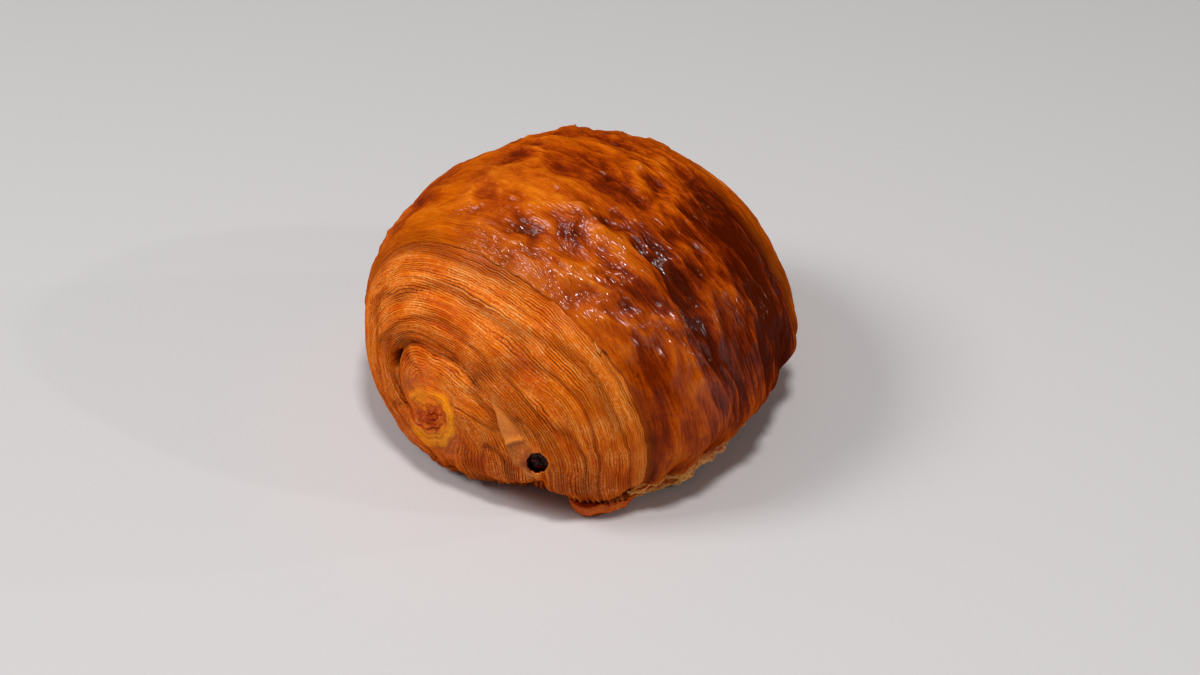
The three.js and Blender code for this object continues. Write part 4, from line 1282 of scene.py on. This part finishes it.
def crust_material():
    material, tree, shader = new_material("egg_washed_crust")
    separate = tree.add("ShaderNodeSeparateXYZ")
    tree.feed(separate.inputs[0], tree.place())
    grain = place_grain(tree, tree.math("MULTIPLY", separate.outputs[0], 900), 13.0, 22.0)
    broad = tree.noise(tree.place(), 42, 3.0, 0.55)
    middle = tree.noise(tree.place(), 190, 4.0, 0.7)
    along_roll = tree.math("MULTIPLY", separate.outputs[0], 300)
    streaks = tree.noise(tree.vector(along_roll, *turned(tree, STREAKS_ROUND)), 1.0, 4.0, 0.6)
    line, gap = gap_lines(tree)
    # Valleys between the crests are painted darker: partly glaze pooled there, partly painted shade.
    valley_shade_and_glaze = tree.math("SUBTRACT", 1.0, tree.value("crest"))
    mottle = tree.math("MULTIPLY", tree.math("SUBTRACT", grain["Fibre"], 0.5),
                       tree.math("MAXIMUM", tree.value("tone"), 0.4))
    tone = tree.total((tree.value("tone"), 1.0), (broad, 0.35), (middle, 0.4), (streaks, 0.4), (mottle, 0.4),
                      (valley_shade_and_glaze, 0.95), (grain["Blisters"], -0.12), (grain["Specks"], 0.12))
    colour = tree.ramp(tree.total((tone, 0.88), (-0.69, 1.0)), CRUST_STOPS)
    colour = tree.mix(tree.value("fade"), colour, glazed_strands(tree, gap), 0.9)
    colour = tree.mix(tree.value("rim"), colour, AMBER, 0.35)
    flat_place = tree.add("ShaderNodeMapping")
    tree.feed(flat_place.inputs["Vector"], tree.place())
    flat_place.inputs["Scale"].default_value = (90.0, 90.0, 800.0)
    layered = tree.span(tree.noise(flat_place.outputs[0], 1.0, 3.0, 0.6), 0.35, 0.65)
    seam = tree.ramp(layered, ((0.1, SEAM_BROWN), (0.6, CRUST_BROWN), (0.95, SEAM_PALE)))
    colour = tree.mix(tree.value("foot"), colour, seam, 0.8)
    colour = tree.mix(tree.value("under"), colour, UNDER_BROWN)
    tree.feed(shader.inputs["Base Color"], colour)
    dull = tree.math("MAXIMUM", tree.value("foot"), tree.value("under"))
    tree.feed(shader.inputs["Roughness"], tree.span(dull, 0, 1, 0.5, 0.8))
    coat = tree.total((tree.value("patches"), 0.64), (0.10, 1.0))
    coat = tree.math("MULTIPLY", coat, tree.span(separate.outputs[2], 0.010, 0.046, 0.25, 1.0))
    coat = tree.math("MULTIPLY", coat, tree.span(separate.outputs[0], -0.014, 0.014, 1.0, 0.24))
    varnish(tree, shader, tree.math("MULTIPLY", coat, tree.span(dull, 0, 1, 1.0, 0.15)), 0.055)
    creased = tree.math("MULTIPLY", grain["Crinkle"], tree.value("patches"))
    add_bump(tree, shader, tree.total((grain["Height"], 0.5), (creased, 0.8), (line, -0.9)), 0.24, ["Normal"])
    add_bump(tree, shader, tree.total((creased, 0.7), (line, -0.6), (grain["Fibre"], 0.04)), 0.24, ["Coat Normal"])
    return material


# %% [markdown]
# ## The cut layers
# Edge on, each sheet is orange, with cream blisters where it puffed and a red-brown line in the gap below it.
# The masks come with the mesh, so colour and relief agree: gaps are deep, and their dark colour is partly the
# red-brown of the gap and partly painted shade. The snail and the membrane are other colours of the same dough,
# mixed in by their own masks; a darker red-brown lies beside the mouth, the slot and the wall of the mouth are
# painted dark as shade, and a pale line along the membrane's crease is a painted highlight.

# %% Layer material
LAYER_STOPS = ((0.08, LAYER_RED), (0.5, LAYER_ORANGE), (0.95, LAYER_CREAM))
GRANULE_SIZE_MM = 0.55


def layer_material():
    material, tree, shader = new_material("cut_layers")
    grain = place_grain(tree, tree.value("layer"), 16.0, 30.0)
    broad = tree.noise(tree.place(), 130, 4.0, 0.6)
    granules = tree.span(tree.noise(tree.place(), 1 / (GRANULE_SIZE_MM * MM), 2.0, 0.6), 0.47, 0.62)
    line, gap = gap_lines(tree)
    tone = tree.total((tree.value("tone"), 0.6), (grain["Fibre"], 0.2), (broad, 0.7), (grain["Blisters"], 0.25),
                      (tree.value("low"), -0.22))
    colour = tree.ramp(tree.math("SUBTRACT", tone, 0.40), LAYER_STOPS)
    colour = tree.mix(tree.math("MULTIPLY", granules, tree.span(broad, 0.35, 0.6)), colour, LAYER_CREAM, 0.45)
    colour = tree.mix(tree.value("strip"), colour, STRIP_TAN, 0.5)
    colour = tree.mix(tree.value("band"), colour, BAND_BROWN, 0.35)
    colour = tree.mix(tree.value("near_floor"), colour, FOOT_ROSE, 0.45)
    dome = tree.mix(tree.span(broad, 0.38, 0.62), SNAIL_ORANGE, CRUST_BROWN, 0.8)
    dome = tree.mix(granules, dome, LAYER_CREAM, 0.14)
    colour = tree.mix(tree.value("smooth"), colour, dome, 0.92)
    # Gaps between layers are painted dark: partly the red-brown of the gap, partly painted shade of their depth.
    colour = tree.mix(gap, colour, GAP_SHADE_BROWN, 0.85)
    colour = tree.mix(tree.value("yellow"), colour, SNAIL_YELLOW)
    colour = tree.mix(tree.value("snail_red"), colour, SNAIL_RED, 0.85)
    skin = tree.mix(tree.value("skin_share"), MEMBRANE_TAN, MEMBRANE_DARK)
    skin = tree.mix(tree.span(broad, 0.38, 0.62), skin, LAYER_RED, 0.55)
    skin = tree.mix(granules, skin, LAYER_CREAM, 0.22)
    skin = tree.mix(tree.value("lining"), skin, LINING_RED, 0.8)
    colour = tree.mix(tree.value("plain"), colour, skin, 0.85)
    # Pale tongue and rim line by the mouth, and a painted highlight along the membrane's crease.
    colour = tree.mix(tree.value("pale_rim_and_highlight"), colour, STRIP_TAN, 0.8)
    colour = tree.mix(tree.value("fade"), colour, glazed_strands(tree, gap), 0.9)
    # Painted shade down the slot and the wall of the mouth.
    colour = tree.mix(tree.value("shade"), colour, HOLE_SHADE)
    tree.feed(shader.inputs["Base Color"], colour)
    glossy = tree.math("MAXIMUM", tree.value("smooth"), tree.math("MAXIMUM", tree.value("plain"), tree.value("fade")))
    shader.inputs["Roughness"].default_value = 0.5
    varnish(tree, shader, tree.span(glossy, 0, 1, 0.14, 0.32), 0.16)
    add_bump(tree, shader, tree.total((grain["Height"], 0.5), (granules, 0.12), (line, -0.6)), 0.34)
    return material


# %% Material of the loose sheets
SHEET_STOPS = ((0.15, MAHOGANY), (0.45, CRUST_BROWN), (0.80, SEAM_PALE))
TAIL_STOPS = ((0.25, MAHOGANY), (0.6, TAIL_RED), (1.0, LAYER_ORANGE))


def sheet_material(name, stops):
    material, tree, shader = new_material(name)
    broad = tree.noise(tree.place(), 260, 3.0, 0.6)
    specks = tree.noise(tree.place(), 1 / (SPECK_SIZE_MM * MM), 3.0, 0.6)
    tone = tree.total((broad, 0.8), (specks, 0.5), (tree.value("edge"), 0.35))
    colour = tree.ramp(tree.math("SUBTRACT", tone, 0.25), stops)
    # Where a sheet meets the dough it is painted dark: partly browning, partly painted shade.
    tree.feed(shader.inputs["Base Color"], tree.mix(tree.value("inner"), colour, BURNT, 0.85))
    shader.inputs["Roughness"].default_value = 0.5
    varnish(tree, shader, 0.4, 0.15)
    add_bump(tree, shader, tree.total((broad, 1.0), (specks, 0.6)), 0.5)
    return material


# %% Chocolate material
CHOCOLATE_DARK, CHOCOLATE_BROWN = seen(26, 4, 1), seen(96, 20, 5)


def chocolate_material():
    material, tree, shader = new_material("set_chocolate")
    cloud = tree.noise(tree.place(), 500, 3.0, 0.6)
    colour = tree.mix(tree.span(cloud, 0.45, 0.7), CHOCOLATE_DARK, CHOCOLATE_BROWN)
    tree.feed(shader.inputs["Base Color"], colour)
    tree.feed(shader.inputs["Roughness"], tree.span(cloud, 0.35, 0.7, 0.3, 0.5))
    varnish(tree, shader, 0.5, 0.08)
    add_bump(tree, shader, tree.noise(tree.place(), 1000, 3.0, 0.6), 0.6)
    return material


# %% Dress the pieces and fasten them to the body
def dress(pieces, material, slot):
    for piece in pieces:
        piece.data.materials.append(material)
        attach(piece, BODY)
        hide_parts(slot)


dress([crust], crust_material(), "dough")
dress([shown_end, far_end], layer_material(), "dough")
dress([*seam_pieces, *flakes], sheet_material("flaky_sheet", SHEET_STOPS), "dough")
dress([tail], sheet_material("folded_tail", TAIL_STOPS), "dough")
dress([chocolate], chocolate_material(), "chocolate")

# %% [markdown]
# ## Floor, light and camera
# The stage is plain: a pale matte floor and soft light. A wide window-like panel stands high beyond the far
# left corner, so shadows fall towards the lower right, and a weaker panel overhead draws the fine glints on
# the crust. The camera looks down at the seam-side corner of the shown end.

# %% Stage
FLOOR_SIZE_M, FLOOR_GREY = 6.0, (0.63, 0.622, 0.635, 1.0)


def make_floor():
    half = FLOOR_SIZE_M / 2
    mesh = bpy.data.meshes.new("floor")
    mesh.from_pydata([(-half, -half, 0), (half, -half, 0), (half, half, 0), (-half, half, 0)], [], [(0, 1, 2, 3)])
    floor = bpy.data.objects.new("floor", mesh)
    bpy.context.scene.collection.objects.link(floor)
    material, tree, shader = new_material("floor_matte")
    shader.inputs["Base Color"].default_value = FLOOR_GREY
    shader.inputs["Roughness"].default_value = 0.8
    shader.inputs["Specular IOR Level"].default_value = 0.1
    add_bump(tree, shader, tree.noise(tree.place(), 600, 3.0, 0.6), 0.1)
    mesh.materials.append(material)


make_floor()

# %% Lights
LIGHTS = (
    {"name": "window", "at": (-0.62, 0.56, 0.90), "size": 0.42, "watts": 7.0, "tint": (1.0, 0.985, 0.97)},
    {"name": "overhead", "at": (-0.17, -0.20, 0.81), "size": 0.11, "watts": 3.8, "tint": (1.0, 0.975, 0.95)},
    {"name": "side_glint", "at": (0.42, -0.95, 0.60), "size": 0.035, "watts": 1.4, "tint": (1.0, 0.97, 0.94)},
    {"name": "low_glint", "at": (0.76, -0.77, 0.30), "size": 0.035, "watts": 1.0, "tint": (1.0, 0.97, 0.94)},
)
LIGHT_AIM = (0.0, 0.0, 0.03)


def aim_at(thing, place, target):
    """Stands a light or camera at place, facing target."""
    direction = [t - p for t, p in zip(target, place)]
    thing.location = place
    thing.rotation_euler = Vector(direction).to_track_quat("-Z", "Y").to_euler()


for spec in LIGHTS:
    lamp = bpy.data.lights.new(spec["name"], "AREA")
    lamp.shape, lamp.size, lamp.energy, lamp.color = "SQUARE", spec["size"], spec["watts"], spec["tint"]
    lamp_object = bpy.data.objects.new(spec["name"], lamp)
    bpy.context.scene.collection.objects.link(lamp_object)
    aim_at(lamp_object, spec["at"], LIGHT_AIM)

# %% [markdown]
# The room round the stage is pale on the window side and dim on the other, as a real room is. A world that
# is equally bright all round would lay a grey haze over the dark, glossy side of the crust.

# %% Room light
ROOM_PALE, ROOM_DIM, ROOM_STRENGTH = (0.92, 0.91, 0.92, 1.0), (0.16, 0.14, 0.13, 1.0), 0.20
WINDOW_SIDE = (-0.55, 0.65, 0.52)


def room_light():
    world = bpy.data.worlds.new("soft_room")
    world.use_nodes = True
    tree = Tree(world.node_tree)
    facing = tree.add("ShaderNodeVectorMath", operation="DOT_PRODUCT")
    tree.feed(facing.inputs[0], tree.add("ShaderNodeTexCoord").outputs["Generated"])
    facing.inputs[1].default_value = WINDOW_SIDE
    background = world.node_tree.nodes["Background"]
    share = tree.span(facing.outputs["Value"], -0.5, 0.9)
    tree.feed(background.inputs["Color"], tree.mix(share, ROOM_DIM, ROOM_PALE))
    background.inputs["Strength"].default_value = ROOM_STRENGTH
    bpy.context.scene.world = world


room_light()
bpy.context.scene.view_settings.view_transform = "Standard"

# %% Camera
CAMERA_AZIMUTH, CAMERA_ELEVATION, CAMERA_DISTANCE = -50.8, 38.45, 0.5404
CAMERA_AIM = (-0.0090, -0.0123, 0.030)
LENS_MM = 64.3
azimuth, elevation = CAMERA_AZIMUTH * DEG, CAMERA_ELEVATION * DEG
back = (math.sin(azimuth) * math.cos(elevation), -math.cos(azimuth) * math.cos(elevation), math.sin(elevation))
camera = bpy.data.objects.new("camera", bpy.data.cameras.new("camera"))
camera.data.lens = LENS_MM
camera.data.sensor_width = 36.0
camera.data.clip_start = 0.01
bpy.context.scene.collection.objects.link(camera)
aim_at(camera, [a + b * CAMERA_DISTANCE for a, b in zip(CAMERA_AIM, back)], CAMERA_AIM)
bpy.context.scene.camera = camera
